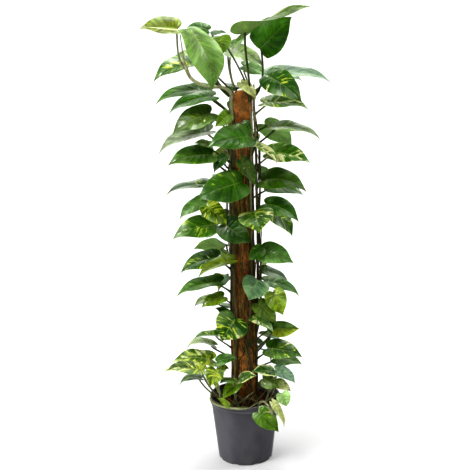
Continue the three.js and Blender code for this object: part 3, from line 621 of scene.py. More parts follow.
# A closed tube along the points, with one radius or a radius for each point
def add_tube(mesh, points, radii, sides, slot=0, **values):
    tangents = np.gradient(points, axis=0)
    tangents /= np.linalg.norm(tangents, axis=1)[:, None]
    normal = np.cross(tangents[0], vec(0.31, 0.52, 0.79))
    angles = np.arange(sides)[:, None] * TAU / sides
    rings = []
    for point, tangent, radius in zip(points, tangents, np.broadcast_to(radii, len(points))):
        normal = unit(normal - tangent * normal.dot(tangent))
        side = np.cross(tangent, normal)
        rings.append(point + radius * (np.cos(angles) * normal + np.sin(angles) * side))
    last = (len(points) - 1) * sides
    faces = [face for i in range(0, last, sides) for face in band(i, i + sides, sides)]
    faces += [range(sides)[::-1], range(last, last + sides)]
    spread = {key: np.repeat(value, sides, axis=0) if np.ndim(value) == 2 else value
              for key, value in values.items()}
    mesh.add(np.vstack(rings), faces, slot, **spread)


# A tube of a leafy stem, in the second of its two materials
def add_stalk(mesh, points, radii, sides, tone):
    add_tube(mesh, points, radii, sides, 1, leaf_green=tone, leaf_paint=0, leaf_kind=0, leaf_grid=0)


# Rows of a blade run from the midrib out to the margin, as the side veins do
def outline_points(shares):
    curve = smooth_curve(OUTLINE, 400)
    walked = np.concatenate([[0], np.cumsum(np.linalg.norm(np.diff(curve, axis=0), axis=1))])
    walked /= walked[-1]
    return np.interp(shares, walked, curve[:, 0]), np.interp(shares, walked, curve[:, 1])


# Each blade also bends a little to one side and has its own waves along the margin
def blade_surface(leaf, v, u, number):
    reach, side = np.abs(u)[None, :], np.sign(u)[None, :]
    margin_s, margin_t = outline_points(v)
    rib = (0.14 * v + 0.86 * v ** 3)[:, None]
    s = rib * (1 - reach) + margin_s[:, None] * reach
    s = s - 0.07 * reach * (1 - reach) * np.sin(math.pi * v)[:, None]
    t = side * reach * margin_t[:, None]
    bend = SIDE_BEND * leaf.length * math.sin(number * 2.7) * np.maximum(s, 0) ** 2
    wave = np.sin(8 * s + number * 2.1 + 1.5 * np.sign(t)) * (2 * np.abs(t)) ** 1.5
    wave *= MARGIN_WAVE * leaf.width * (0.4 + 0.6 * math.sin(number * 1.3) ** 2)
    return leaf.at(s, t) + bend[..., None] * leaf.across + wave[..., None] * leaf.normal


def add_blade(mesh, leaf, look, number):
    rows, columns = BLADE_ROWS, BLADE_COLUMNS
    wide = 2 * columns + 1
    v = np.linspace(0, 1, rows + 1)
    k = np.arange(-columns, columns + 1)
    u = np.sign(k) * (np.abs(k) / columns) ** 1.3
    middle = blade_surface(leaf, v, u, number)
    normal = np.cross(np.gradient(middle, axis=0), np.gradient(middle, axis=1))
    normal[0], normal[-1] = normal[1], normal[-2]
    normal = normal / np.linalg.norm(normal, axis=2)[..., None]
    reach = np.abs(u)[None, :]
    relief = min(1, leaf.length / FULL_RELIEF_LENGTH)
    veins = np.cos(TAU * SIDE_VEINS * v)[:, None] * 4 * reach * (1 - reach) ** 1.5
    middle = middle + normal * (PUCKER * relief * veins * np.sin(math.pi * v)[:, None])[..., None]
    near_rib = np.exp(-(reach * leaf.width / 2 / RIB_REACH) ** 2) * (1 - v)[:, None] ** 0.6
    half = MARGIN_HALF_THICKNESS + (BLADE_HALF_THICKNESS - MARGIN_HALF_THICKNESS) * (1 - reach ** 3)
    top = middle + normal * (half - RIB_GROOVE * relief * near_rib)[..., None]
    bottom = middle - normal * (half + RIB_RIDGE * relief * near_rib)[..., None]

    # One point at the base, one at the tip, and full rows between
    index = np.full((rows + 1, wide), -1)
    index[0, :], index[-1, :] = 0, 1
    index[1:-1] = 2 + np.arange((rows - 1) * wide).reshape(rows - 1, wide)
    total = 2 + (rows - 1) * wide
    flat = lambda grid: np.vstack([grid[0, columns], grid[-1, columns], grid[1:-1].reshape(-1, 3)])
    squares = np.stack([index[:-1, :-1], index[1:, :-1], index[1:, 1:], index[:-1, 1:]], axis=2)
    upper = [list(dict.fromkeys(face)) for face in squares.reshape(-1, 4).tolist()]
    lower = [[total + corner for corner in face[::-1]] for face in upper]
    edge = [[a, b, total + b, total + a] for line in (index[::-1, 0], index[:, -1])
            for a, b in zip(line, line[1:])]
    points = np.clip(np.vstack([flat(top), flat(bottom)]), *np.array(cad_box))

    green, yellow, cream, margin, half_side, pale_rib_and_sheen = LOOKS[look]
    warmth = 1 + 0.18 * math.sin(number * 1.7 + 1)
    green = vec(green[0] * warmth, green[1], green[2]) * (1 + 0.14 * math.sin(number * 2.4))
    seed = number * 0.618 % 1 * 10
    place = flat(np.stack(np.broadcast_arrays(u[None, :], v[:, None], seed), axis=2))
    under = np.repeat([0.0, 1.0], total)
    kind = np.stack(np.broadcast_arrays(half_side, margin, under), axis=1)
    mesh.add(points, upper + lower + edge, leaf_grid=np.vstack([place, place]), leaf_green=green,
             leaf_paint=(yellow, cream, pale_rib_and_sheen), leaf_kind=kind)


# The point of a stem from which a leaf's petiole rises
def petiole_root(path, leaf):
    drop = leaf.lift or np.clip(math.hypot(*leaf.base[:2]) - POLE_FOOT_RADIUS, *PETIOLE_DROP)
    miss = np.abs(path[:, 2] - (leaf.base[2] - drop)) + 0.35 * np.hypot(*(path[:, :2] - leaf.base[:2]).T)
    miss[path[:, 2] < SOIL_LEVEL + BARE_STEM] = math.inf
    return int(np.argmin(miss))


# Bowed petiole from the stem to the blade, thicker at both ends
def add_petiole(mesh, leaf, root, tone):
    joint = leaf.at(JOINT_SHARE, 0)
    rib = unit(leaf.at(JOINT_SHARE + 0.04, 0) - joint)
    upward = unit(leaf.normal - rib * leaf.normal.dot(rib))
    neck = joint - NECK_LENGTH * upward
    span = np.linalg.norm(neck - root)
    toward = unit((neck - root) * vec(1, 1, 0))
    leave = 0.22 * unit(root * vec(1, 1, 0)) + 0.14 * toward + 0.3 * UP
    arrive = 0.2 * rib + 0.25 * upward
    corners = [root, root + leave * span, neck - arrive * span * 0.6, neck]
    t = np.linspace(0, 1, 16)[:, None]
    bow = sum(math.comb(3, i) * t ** i * (1 - t) ** (3 - i) * corners[i] for i in range(4))
    path = np.vstack([bow, joint - 0.002 * upward, joint])
    share = np.linspace(0, 1, len(path))
    thick = PETIOLE_RADIUS + PETIOLE_FOOT_SWELL * np.exp(-(share / 0.12) ** 2)
    thick += PETIOLE_NECK_SWELL * np.exp(-((share - 0.93) / 0.05) ** 2)
    thick *= 0.64 + 0.42 * min(1.3, leaf.length / 0.13) + 0.40 * min(1.2, span / 0.15)
    thick[-1] = PETIOLE_END_RADIUS
    add_stalk(mesh, path, thick, 9, tone)


def stem_path(name):
    if name in SHOOTS:
        radius, points = SHOOTS[name]
        return radius, smooth_curve(points, SHOOT_STEPS * (len(points) - 1) + 1)
    radius, route = CLIMBERS[name]
    azimuth, z, lift = smooth_curve(route, STEM_STEPS * (len(route) - 1) + 1).T
    phase = len(name) + azimuth[0]
    azimuth = azimuth + STEM_WANDER * (np.sin(z * 61 + phase) + 0.6 * np.sin(z * 137 + phase))
    reach = pole_radius(z) + STEM_CLEAR + radius + np.maximum(lift, 0)
    points = list(around(reach, np.radians(azimuth), z))
    if name == "vine_front_left":
        points += [seen(*place) for place in YOUNG_END]
    return radius, smooth_curve(points, STEM_STEPS * (len(points) - 1) + 1)


def repeatable(state):
    while True:
        state = state * 16807 % 2147483647
        yield state / 2147483647


def back_leaves():
    random = repeatable(BACK_SEED)
    between = lambda low, high: low + (high - low) * next(random)
    for i in range(BACK_COUNT):
        turn = -BACK_TURN if i % 2 else BACK_TURN
        azimuth = math.radians(90 + turn + between(-BACK_SPREAD, BACK_SPREAD))
        height = BACK_FIRST_Z + BACK_RISE * i + between(*BACK_SHIFT)
        length = BACK_LENGTH * between(*BACK_LENGTH_SHARE)
        reach = between(*BACK_REACH)
        slope = math.radians(between(*BACK_SLOPE))
        roll = math.radians(between(*BACK_ROLL))
        manner = {"fold": between(*BACK_FOLD), "arch": between(*BACK_ARCH)}
        out = around(1, azimuth, 0)
        along = out * math.cos(slope) - UP * math.sin(slope)
        normal = out * math.sin(slope) + UP * math.cos(slope)
        normal = np.array(Matrix.Rotation(roll, 3, Vector(along)) @ Vector(normal))
        leaf = Leaf(out * reach + UP * height, along, normal, length, length * WIDTH_RATIO, manner)
        yield ("vine_back_right" if i % 2 else "vine_back_left"), leaf, BACK_LOOKS[i % 8]


# Roots that a climbing stem sends round the pole
def add_clinging_roots(mesh, path, radius, rng):
    for i in range(6, len(path) - 10, 5):
        x, y, height = path[i]
        start, azimuth, coir = math.hypot(x, y), math.atan2(y, x), pole_radius(height)
        if height > POLE_TOP - ROOTS_BELOW_TOP:
            break
        if start - radius > coir + CLING_REACH:
            continue
        side = rng.choice([-1, 1])
        length = rng.uniform(*CLING_LENGTH)
        steps = np.linspace(0, 1, 9)
        angle = azimuth + side * steps * length * rng.uniform(0.2, 0.7) / POLE_MEAN_RADIUS
        z = height - steps * length * rng.uniform(0.2, 1.3) + CLING_RIPPLE * np.sin(steps * 9 + i)
        lying = coir + CLING_RADIUS[0]
        reach = lying + (start - radius * 0.5 - lying) * (1 - steps) ** 3
        add_stalk(mesh, around(reach, angle, z), np.linspace(*CLING_RADIUS, 9), 6, CLING_TONE)


# Long roots that hang beside a climbing stem, free of the pole, and meet it again lower down
def add_hanging_roots(mesh, path, count, rng):
    by_pole = np.hypot(*path[:, :2].T) < POLE_FOOT_RADIUS + BY_POLE
    close = np.flatnonzero(by_pole & (path[:, 2] < POLE_TOP - ROOTS_BELOW_TOP))
    for _ in range(count):
        start = close[int(rng.uniform(0.35, 1) * (len(close) - 1))]
        low = max(path[start, 2] - rng.uniform(*HANG_DROP), HANG_LOWEST)
        end = close[np.argmin(np.abs(path[close, 2] - low))]
        if start - end < 6:
            continue
        steps = np.linspace(0, 1, 22)[:, None]
        line = path[start] * (1 - steps) + path[end] * steps
        out = unit(line[0] * vec(1, 1, 0))
        along = np.cross(UP, out)
        bow = np.sin(math.pi * steps) ** 0.6
        line = line + out * bow * rng.uniform(*HANG_OUT) + along * bow * rng.uniform(*HANG_ASIDE)
        line = line + along * HANG_RIPPLE * np.sin(steps * rng.uniform(9, 20))
        tone = HANG_TONE * rng.uniform(0.7, 2.2)
        add_stalk(mesh, line, rng.uniform(*HANG_RADIUS), 6, tone)


# Pale leafless stalks that cross the mouth of the pot, with their tone raised as painted light against the
# shade inside the pot
def add_stray_stalk(mesh, rng):
    start, turn = rng.uniform(-2.6, -0.5), rng.uniform(0.2, 0.9) * rng.choice([-1, 1])
    steps = np.linspace(0, 1, 14)
    reach = rng.uniform(*STRAY_START) + rng.uniform(*STRAY_OUT) * steps
    z = STRAY_FOOT_Z + rng.uniform(*STRAY_RISE) * steps ** 0.8
    thick = np.linspace(*STRAY_RADIUS, 14)
    # The tone is raised by up to half as painted light
    add_stalk(mesh, around(reach, start + turn * steps, z), thick, 7, YOUNG_TONE * rng.uniform(0.9, 1.5))


# Stems, each with its leaves, petioles and roots
def make_leafy_stems(materials):
    rng = np.random.default_rng(STEM_SEED)
    meshes = {name: Mesh() for name in [*CLIMBERS, *SHOOTS]}
    paths = {name: stem_path(name) for name in meshes}
    joints = {name: [] for name in meshes}
    leaves = [(stem, seen_leaf(seen(bx, bz, by), seen(tx, tz, ty), width, dict(*manner)), look)
              for stem, bx, bz, by, tx, tz, ty, width, look, *manner in LEAVES]
    for number, (stem, leaf, look) in enumerate(leaves + list(back_leaves())):
        path = paths[stem][1]
        at = petiole_root(path, leaf)
        joints[stem].append(at)
        tone = PETIOLE_TONES[number % len(PETIOLE_TONES)]
        if leaf.young or stem in SHOOTS:
            tone = YOUNG_TONE * (0.6 if number % 3 == 0 else 1)
        add_petiole(meshes[stem], leaf, path[at], tone)
        add_blade(meshes[stem], leaf, look, number)
    for name, mesh in meshes.items():
        radius, path = paths[name]
        share = np.linspace(0, 1, len(path))
        thick = radius * STEM_FULLNESS.get(name, USUAL_FULLNESS) * (1 - 0.10 * share)
        for at in joints[name]:
            thick += STEM_JOINT_SWELL * np.exp(-((np.arange(len(path)) - at) / 0.8) ** 2)
        thick *= np.clip((1 - share) * TIP_TAPER, 0.3, 1)
        tone = OLD_TONE + (STEM_TONE - OLD_TONE) * np.clip(share[:, None] * 1.6 - 0.35, 0, 1)
        start = 0.2 if name in SHOOTS else 2.1
        young = 1 if name == "shoot_rim" else np.clip(share[:, None] * 4 - start, 0, 1)
        add_stalk(mesh, path, thick, 10, tone + (YOUNG_TONE - tone) * young)
        # A second, thinner strand winds along the shoot at the rim
        if name == "shoot_rim":
            wave = np.sin(share * 19)[:, None]
            strand = path * (1 - STRAND_SWAY * wave) + UP * (STRAND_LIFT + STRAND_HEAVE * wave)
            add_stalk(mesh, strand[20:-6], thick[20:-6] * STRAND_SHARE, 9, STEM_TONE)
        if name == "shoot_front":
            for _ in range(STRAY_STALKS):
                add_stray_stalk(mesh, rng)
        if name in CLIMBERS:
            add_clinging_roots(mesh, path, radius, rng)
            add_hanging_roots(mesh, path, HANGING_ROOTS[name], rng)
        mesh.build(name + "_leaves", materials, "leaf", replaces=name)


# A solid of revolution about Z. The profile starts and ends on the axis and is solid on its left.
def add_lathe(mesh, profile, sides, move=None):
    profile = np.asarray(profile, float)
    rings = around(profile[1:-1, :1], np.arange(sides) * TAU / sides, profile[1:-1, 1:]).reshape(-1, 3)
    points = np.vstack([rings, UP * profile[0, 1], UP * profile[-1, 1]])
    last, below, above = len(rings) - sides, len(rings), len(rings) + 1
    faces = [face for i in range(0, last, sides) for face in band(i, i + sides, sides)]
    for k in range(sides):
        n = (k + 1) % sides
        faces += [(below, n, k), (last + k, last + n, above)]
    mesh.add(move(points) if move else points, faces)


# A rounded corner of a profile: points on an arc that cuts the corner at b
def rounded(a, b, c, radius):
    a, b, c = (np.array(p, float) for p in (a, b, c))
    start = b + unit(a - b) * radius
    end = b + unit(c - b) * radius
    t = np.linspace(0, 1, CORNER_STEPS)[:, None]
    return list(start * (1 - t) ** 2 + 2 * b * t * (1 - t) + end * t ** 2)


def make_pot(material):
    inner, lip = POT_WALL_TOP_RADIUS - POT_WALL, POT_RIM_RADIUS - POT_LIP
    # Each corner of the section: radius, height, and the cut of its rounding
    corners = np.array([
        (0, 0, 0), (POT_FOOT_RADIUS - 0.001, 0, 0.0025),
        (POT_WALL_TOP_RADIUS - 0.0002, POT_WALL_TOP - 0.0010, 0.0006),
        (POT_WALL_TOP_RADIUS + 0.0036, POT_WALL_TOP - 0.0004, 0.0008),
        (POT_WALL_TOP_RADIUS + 0.0038, POT_WALL_TOP + 0.0018, 0.0008),
        (POT_WALL_TOP_RADIUS + 0.0022, POT_WALL_TOP + 0.0052, 0.0012),
        (POT_RIM_RADIUS - 0.0006, POT_HEIGHT - 0.004, 0.0008), (POT_RIM_RADIUS, POT_HEIGHT, 0.0010),
        (lip, POT_HEIGHT, 0.0010), (lip - 0.0004, POT_HEIGHT - 0.006, 0.0010),
        (inner + 0.0018, POT_WALL_TOP + 0.003, 0.0008), (inner, POT_WALL_TOP, 0.0006),
        (POT_FOOT_RADIUS - POT_WALL, POT_FLOOR, 0.0015), (0, POT_FLOOR, 0),
    ])
    points, cuts = corners[:, :2], corners[:, 2]
    profile = [points[0]]
    for i in range(1, len(points) - 1):
        profile += rounded(points[i - 1], points[i], points[i + 1], cuts[i])
        if i == FOOT_CORNER:
            profile += [points[i] + (points[i + 1] - points[i]) * share for share in WALL_RINGS]
    profile.append(points[-1])
    mesh = Mesh()
    add_lathe(mesh, profile, POT_SIDES)
    pot = mesh.build("grow_pot", [material], "pot_plastic", replaces="pot", sharp=40)
    cutters = Mesh()
    for i in range(DRAIN_COUNT):
        add_drain_cutter(cutters, TAU * (i + 0.5) / DRAIN_COUNT)
    cut(pot, cutters)


# A low arched opening through the foot of the wall
def add_drain_cutter(mesh, angle):
    half, turns = DRAIN_WIDTH / 2, np.linspace(0, math.pi, 9)
    arch = [(half * math.cos(a), DRAIN_HEIGHT * min(1, 1.6 * math.sin(a))) for a in turns]
    outline = [(half, -DRAIN_BELOW), *arch, (-half, -DRAIN_BELOW)]
    out, side = around(1, angle, 0), around(1, angle + math.pi / 2, 0)
    ends = POT_FOOT_RADIUS - DRAIN_CUT, POT_FOOT_RADIUS + DRAIN_CUT
    points = [out * r + side * x + UP * z for r in ends for x, z in outline]
    n = len(outline)
    mesh.add(points, [*band(0, n, n), range(n)[::-1], range(n, 2 * n)])


def cut(piece, cutters):
    tool = link("cutters", cutters.data("cutters"))
    boolean = piece.modifiers.new("cut", "BOOLEAN")
    boolean.operation, boolean.object, boolean.solver = "DIFFERENCE", tool, "EXACT"
    graph = bpy.context.evaluated_depsgraph_get()
    made = bpy.data.meshes.new_from_object(piece.evaluated_get(graph))
    piece.modifiers.clear()
    piece.data = made
    bpy.data.objects.remove(tool)


def fractal(points, size, octaves=4, offset=0.0):
    shift = Vector((offset,) * 3)
    return np.array([noise.fractal(Vector(p) / size + shift, 0.8, 2.1, octaves) for p in points])


def make_soil(material):
    slope = (POT_WALL_TOP_RADIUS - POT_FOOT_RADIUS) / POT_WALL_TOP
    inside = POT_FOOT_RADIUS - POT_WALL - SOIL_CLEAR
    edge = inside + slope * SOIL_LEVEL
    side = [(inside + slope * z, z) for z in np.linspace(SOIL_BOTTOM, SOIL_LEVEL - 0.003, 10)]
    top = [(r, SOIL_LEVEL) for r in np.linspace(edge - 0.0002, HOLE_RADIUS, SOIL_RINGS)]
    hole = [(HOLE_RADIUS, SOIL_LEVEL - 0.008), (HOLE_RADIUS, HOLE_BOTTOM), (0, HOLE_BOTTOM)]

    def crumble(points):
        upper = points[:, 2] > SOIL_LEVEL - 0.001
        near_edge = np.clip((edge - np.hypot(*points[:, :2].T)) / 0.012, 0, 1)
        lift = SOIL_LUMPS * fractal(points, 0.030) + SOIL_GRAIN * fractal(points, 0.007, 3, 5.0)
        points[:, 2] += upper * (lift * (0.35 + 0.65 * near_edge) - SOIL_EDGE_DROP * (1 - near_edge))
        return points

    mesh = Mesh()
    add_lathe(mesh, [(0, SOIL_BOTTOM), *side, *top, *hole], SOIL_SIDES, crumble)
    rng = np.random.default_rng(SOIL_SEED)
    for _ in range(CRUMB_COUNT):
        reach = math.sqrt(rng.uniform(HOLE_RADIUS ** 2, (edge - CRUMB_FROM_WALL) ** 2))
        add_crumb(mesh, around(reach, rng.uniform(0, TAU), SOIL_LEVEL + CRUMB_LIFT), rng)
    mesh.build("potting_soil", [material], "soil", replaces="soil")


# A small broken lump: a squashed octahedron with its corners moved about
def add_crumb(mesh, centre, rng):
    size = rng.uniform(*CRUMB_SIZE)
    corners = np.array([(1, 0, 0), (0, 1, 0), (-1, 0, 0), (0, -1, 0), (0, 0, 0.8), (0, 0, -0.8)])
    corners = corners * size * rng.uniform(0.6, 1.2, (6, 1)) + rng.normal(0, size * 0.15, (6, 3))
    faces = [(0, 1, 4), (1, 2, 4), (2, 3, 4), (3, 0, 4), (1, 0, 5), (2, 1, 5), (3, 2, 5), (0, 3, 5)]
    mesh.add(centre + corners, faces)


def make_pole(coir, fibre, root):
    side = [(pole_radius(z), z) for z in np.linspace(POLE_FOOT_Z, DOME_START, POLE_RINGS)]
    dome = [(pole_radius(DOME_START) * math.cos(a), DOME_START + (POLE_TOP - DOME_START) * math.sin(a))
            for a in np.linspace(0.08, 1.5, 24)]
    bore = [(0, BORE_TOP), (BORE_RADIUS, BORE_TOP), (BORE_RADIUS, POLE_FOOT_Z)]

    def mat(points):
        reach = np.hypot(*points[:, :2].T)
        outer = (reach > 0.02) | (points[:, 2] > BORE_TOP + 0.005)
        lift = COIR_LUMPS * fractal(points * vec(1, 1, 0.5), 0.014)
        lift = lift + COIR_GRAIN * fractal(points, 0.0035, 2, 9.0)
        outward = points * vec(1, 1, 0) / np.maximum(reach, 1e-6)[:, None]
        outward = np.where((points[:, 2] > DOME_START)[:, None], outward * 0.7 + UP * 0.5, outward)
        return points + outward * (outer * lift)[:, None]

    mesh = Mesh()
    add_lathe(mesh, [*bore, *side, *dome, (0, POLE_TOP)], POLE_SIDES, mat)
    mesh.build("coir_pole", [coir], "coir", replaces="coir_sleeve")

    rng = np.random.default_rng(POLE_SEED)
    fibres, roots = Mesh(), Mesh()
    for count, add, strands in ((FIBRE_COUNT, add_fibre, fibres), (LITTER_COUNT, add_litter, fibres),
                                (ROOT_COUNT, add_pole_root, roots)):
        for _ in range(count):
            add(strands, rng)
    steps = np.linspace(0, 1, 60)
    angle = math.radians(PALE_ROOT_AZIMUTH) + 0.10 * np.sin(steps * 17) + 0.04 * np.sin(steps * 41 + 1)
    z = np.linspace(*PALE_ROOT_Z, 60)
    line = around(pole_radius(z) + PALE_ROOT_LIFT, angle, z)
    add_tube(roots, line, PALE_ROOT_RADIUS, 7, root_tone=PALE_ROOT_TONE)
    fibres.build("coir_fibres", [fibre], "coir")
    roots.build("pole_roots", [root], "leaf")


def any_tone(tones, rng, dark, bright):
    return vec(*tones[rng.integers(len(tones))]) * rng.uniform(dark, bright)


def add_fibre(mesh, rng):
    z = rng.uniform(*FIBRE_Z)
    azimuth = rng.uniform(0, TAU)
    length = rng.uniform(*FIBRE_LENGTH)
    lean = rng.uniform(0, math.pi)
    steps = np.linspace(0, 1, 5)
    bend = rng.uniform(-0.8, 0.8)
    turn = steps * length * math.cos(lean + bend * 0.5) / POLE_MEAN_RADIUS + bend * 0.12 * steps ** 2
    height = np.minimum(z + steps * length * math.sin(lean), FIBRE_HIGHEST)
    over = np.clip((height - DOME_START) / (POLE_TOP - DOME_START), 0, 1)
    body = pole_radius(z) * np.sqrt(1 - over ** 2)
    stand_off = rng.uniform(0, FIBRE_STAND_OFF) * np.sin(math.pi * steps * rng.uniform(0.6, 1.1))
    reach = body + rng.uniform(*FIBRE_DEPTH) + stand_off
    tone = any_tone(FIBRE_TONES, rng, 0.7, 1.25)
    line = around(reach, azimuth + turn, height)
    add_tube(mesh, line, rng.uniform(*FIBRE_RADIUS), 3, fibre_tone=tone)


# Fibres and bark that have dropped on the soil, most of them by the pole
def add_litter(mesh, rng):
    reach = LITTER_START + abs(rng.normal(0, LITTER_SPREAD))
    if reach > LITTER_REACH:
        return
    start = around(reach, rng.uniform(0, TAU), SOIL_LEVEL + rng.uniform(*LITTER_LIFT))
    way = rng.uniform(0, TAU)
    steps = np.linspace(0, 1, 5)
    length = rng.uniform(*LITTER_LENGTH)
    way = around(1, way + rng.uniform(-1, 1) * steps, 0.15 * np.sin(steps * 3))
    tone = any_tone(FIBRE_TONES, rng, 0.25, 0.75)
    line = start + (length * steps)[:, None] * way
    add_tube(mesh, line, rng.uniform(*LITTER_RADIUS), 4, fibre_tone=tone)


# Old brown roots and dead stem that run down the coir
def add_pole_root(mesh, rng):
    low = rng.uniform(*ROOT_START)
    high = min(low + rng.uniform(*ROOT_LENGTH), ROOT_TOP)
    azimuth = rng.uniform(0, TAU)
    steps = np.linspace(0, 1, 26)
    wander = rng.uniform(0.05, 0.28) * np.sin(steps * rng.uniform(3, 12) + rng.uniform(0, 6))
    angle = azimuth + wander + rng.uniform(-0.4, 0.4) * steps
    z = low + (high - low) * steps
    thick = rng.uniform(*ROOT_RADIUS) * (1.1 - 0.7 * steps)
    line = around(pole_radius(z) + thick * 0.6, angle, z)
    add_tube(mesh, line, thick, 6, root_tone=any_tone(ROOT_TONES, rng, 0.8, 1.3))


# Shader nodes in the making
class Nodes:
    def __init__(self, tree):
        self.tree = tree

    def node(self, kind, inputs, output=0, **settings):
        made = self.tree.nodes.new("ShaderNode" + kind)
        for key, value in settings.items():
            setattr(made, key, value)
        for key, value in inputs.items():
            self.feed(made.inputs[key], value)
        return Wire(self, made.outputs[output])

    def feed(self, socket, value):
        if isinstance(value, Wire):
            self.tree.links.new(value.socket, socket)
        elif socket.type == "RGBA":
            socket.default_value = (*value, 1)
        else:
            socket.default_value = value

    def vectors(self, operation, a, b):
        return self.node("VectorMath", {0: a, 1: b}, operation=operation)

    def scaled(self, colour, amount):
        return self.node("VectorMath", {0: colour, "Scale": amount}, operation="SCALE")

    def mix(self, share, a, b):
        return self.node("Mix", {0: share, 6: a, 7: b}, 2, data_type="RGBA")

    def noise(self, vector, scale, detail, rough=0.5):
        inputs = {"Vector": vector, "Scale": scale, "Detail": detail, "Roughness": rough}
        return self.node("TexNoise", inputs)


# The output of a node, and the nodes that may follow it
class Wire:
    def __init__(self, nodes, socket):
        self.nodes, self.socket = nodes, socket

    def math(self, operation, other=0.0):
        return self.nodes.node("Math", {0: self, 1: other}, operation=operation)

    __add__ = partialmethod(math, "ADD")
    __sub__ = partialmethod(math, "SUBTRACT")
    __mul__ = partialmethod(math, "MULTIPLY")
    __truediv__ = partialmethod(math, "DIVIDE")
    __abs__ = partialmethod(math, "ABSOLUTE")

    # 0 below low, 1 above high, smooth between
    def step(self, low, high):
        inputs = {"Value": self, "From Min": low, "From Max": high}
        return self.nodes.node("MapRange", inputs, interpolation_type="SMOOTHSTEP")

    # From a to b as the value goes from low to high
    def spread(self, low, high, a, b):
        inputs = {"Value": self, "From Min": low, "From Max": high, "To Min": a, "To Max": b}
        return self.nodes.node("MapRange", inputs)

    # From a to b over the usual range of a noise
    def vary(self, a, b):
        return self.spread(0.3, 0.7, a, b)

    def brighten(self, amount):
        return self.nodes.scaled(self, amount)

    def split(self):
        parts = self.nodes.node("SeparateXYZ", {0: self}).socket.node.outputs
        return [Wire(self.nodes, socket) for socket in parts]


# A material with one Principled surface
class Look(Nodes):
    def __init__(self, name):
        self.material = bpy.data.materials.new(name)
        self.material.use_nodes = True
        super().__init__(self.material.node_tree)
        self.tree.nodes.clear()
        self.surface = self.tree.nodes.new("ShaderNodeBsdfPrincipled")
        output = self.tree.nodes.new("ShaderNodeOutputMaterial")
        self.tree.links.new(self.surface.outputs[0], output.inputs[0])
        self.place = self.node("TexCoord", {}, "Object")

    def set(self, **inputs):
        for key, value in inputs.items():
            self.feed(self.surface.inputs[key.replace("_", " ")], value)

    # Noise over the piece, drawn out along Z where z is under 1 and packed where it is over 1
    def grain(self, scale, detail, rough=0.5, z=1.0):
        place = self.place if z == 1.0 else self.vectors("MULTIPLY", self.place, (1.0, 1.0, z))
        return self.noise(place, scale, detail, rough)

    def attribute(self, name):
        return self.node("Attribute", {}, "Vector", attribute_name=name)

    def bump(self, height, distance):
        self.set(Normal=self.node("Bump", {"Height": height, "Distance": distance, "Strength": 1.0}))
        return self.material


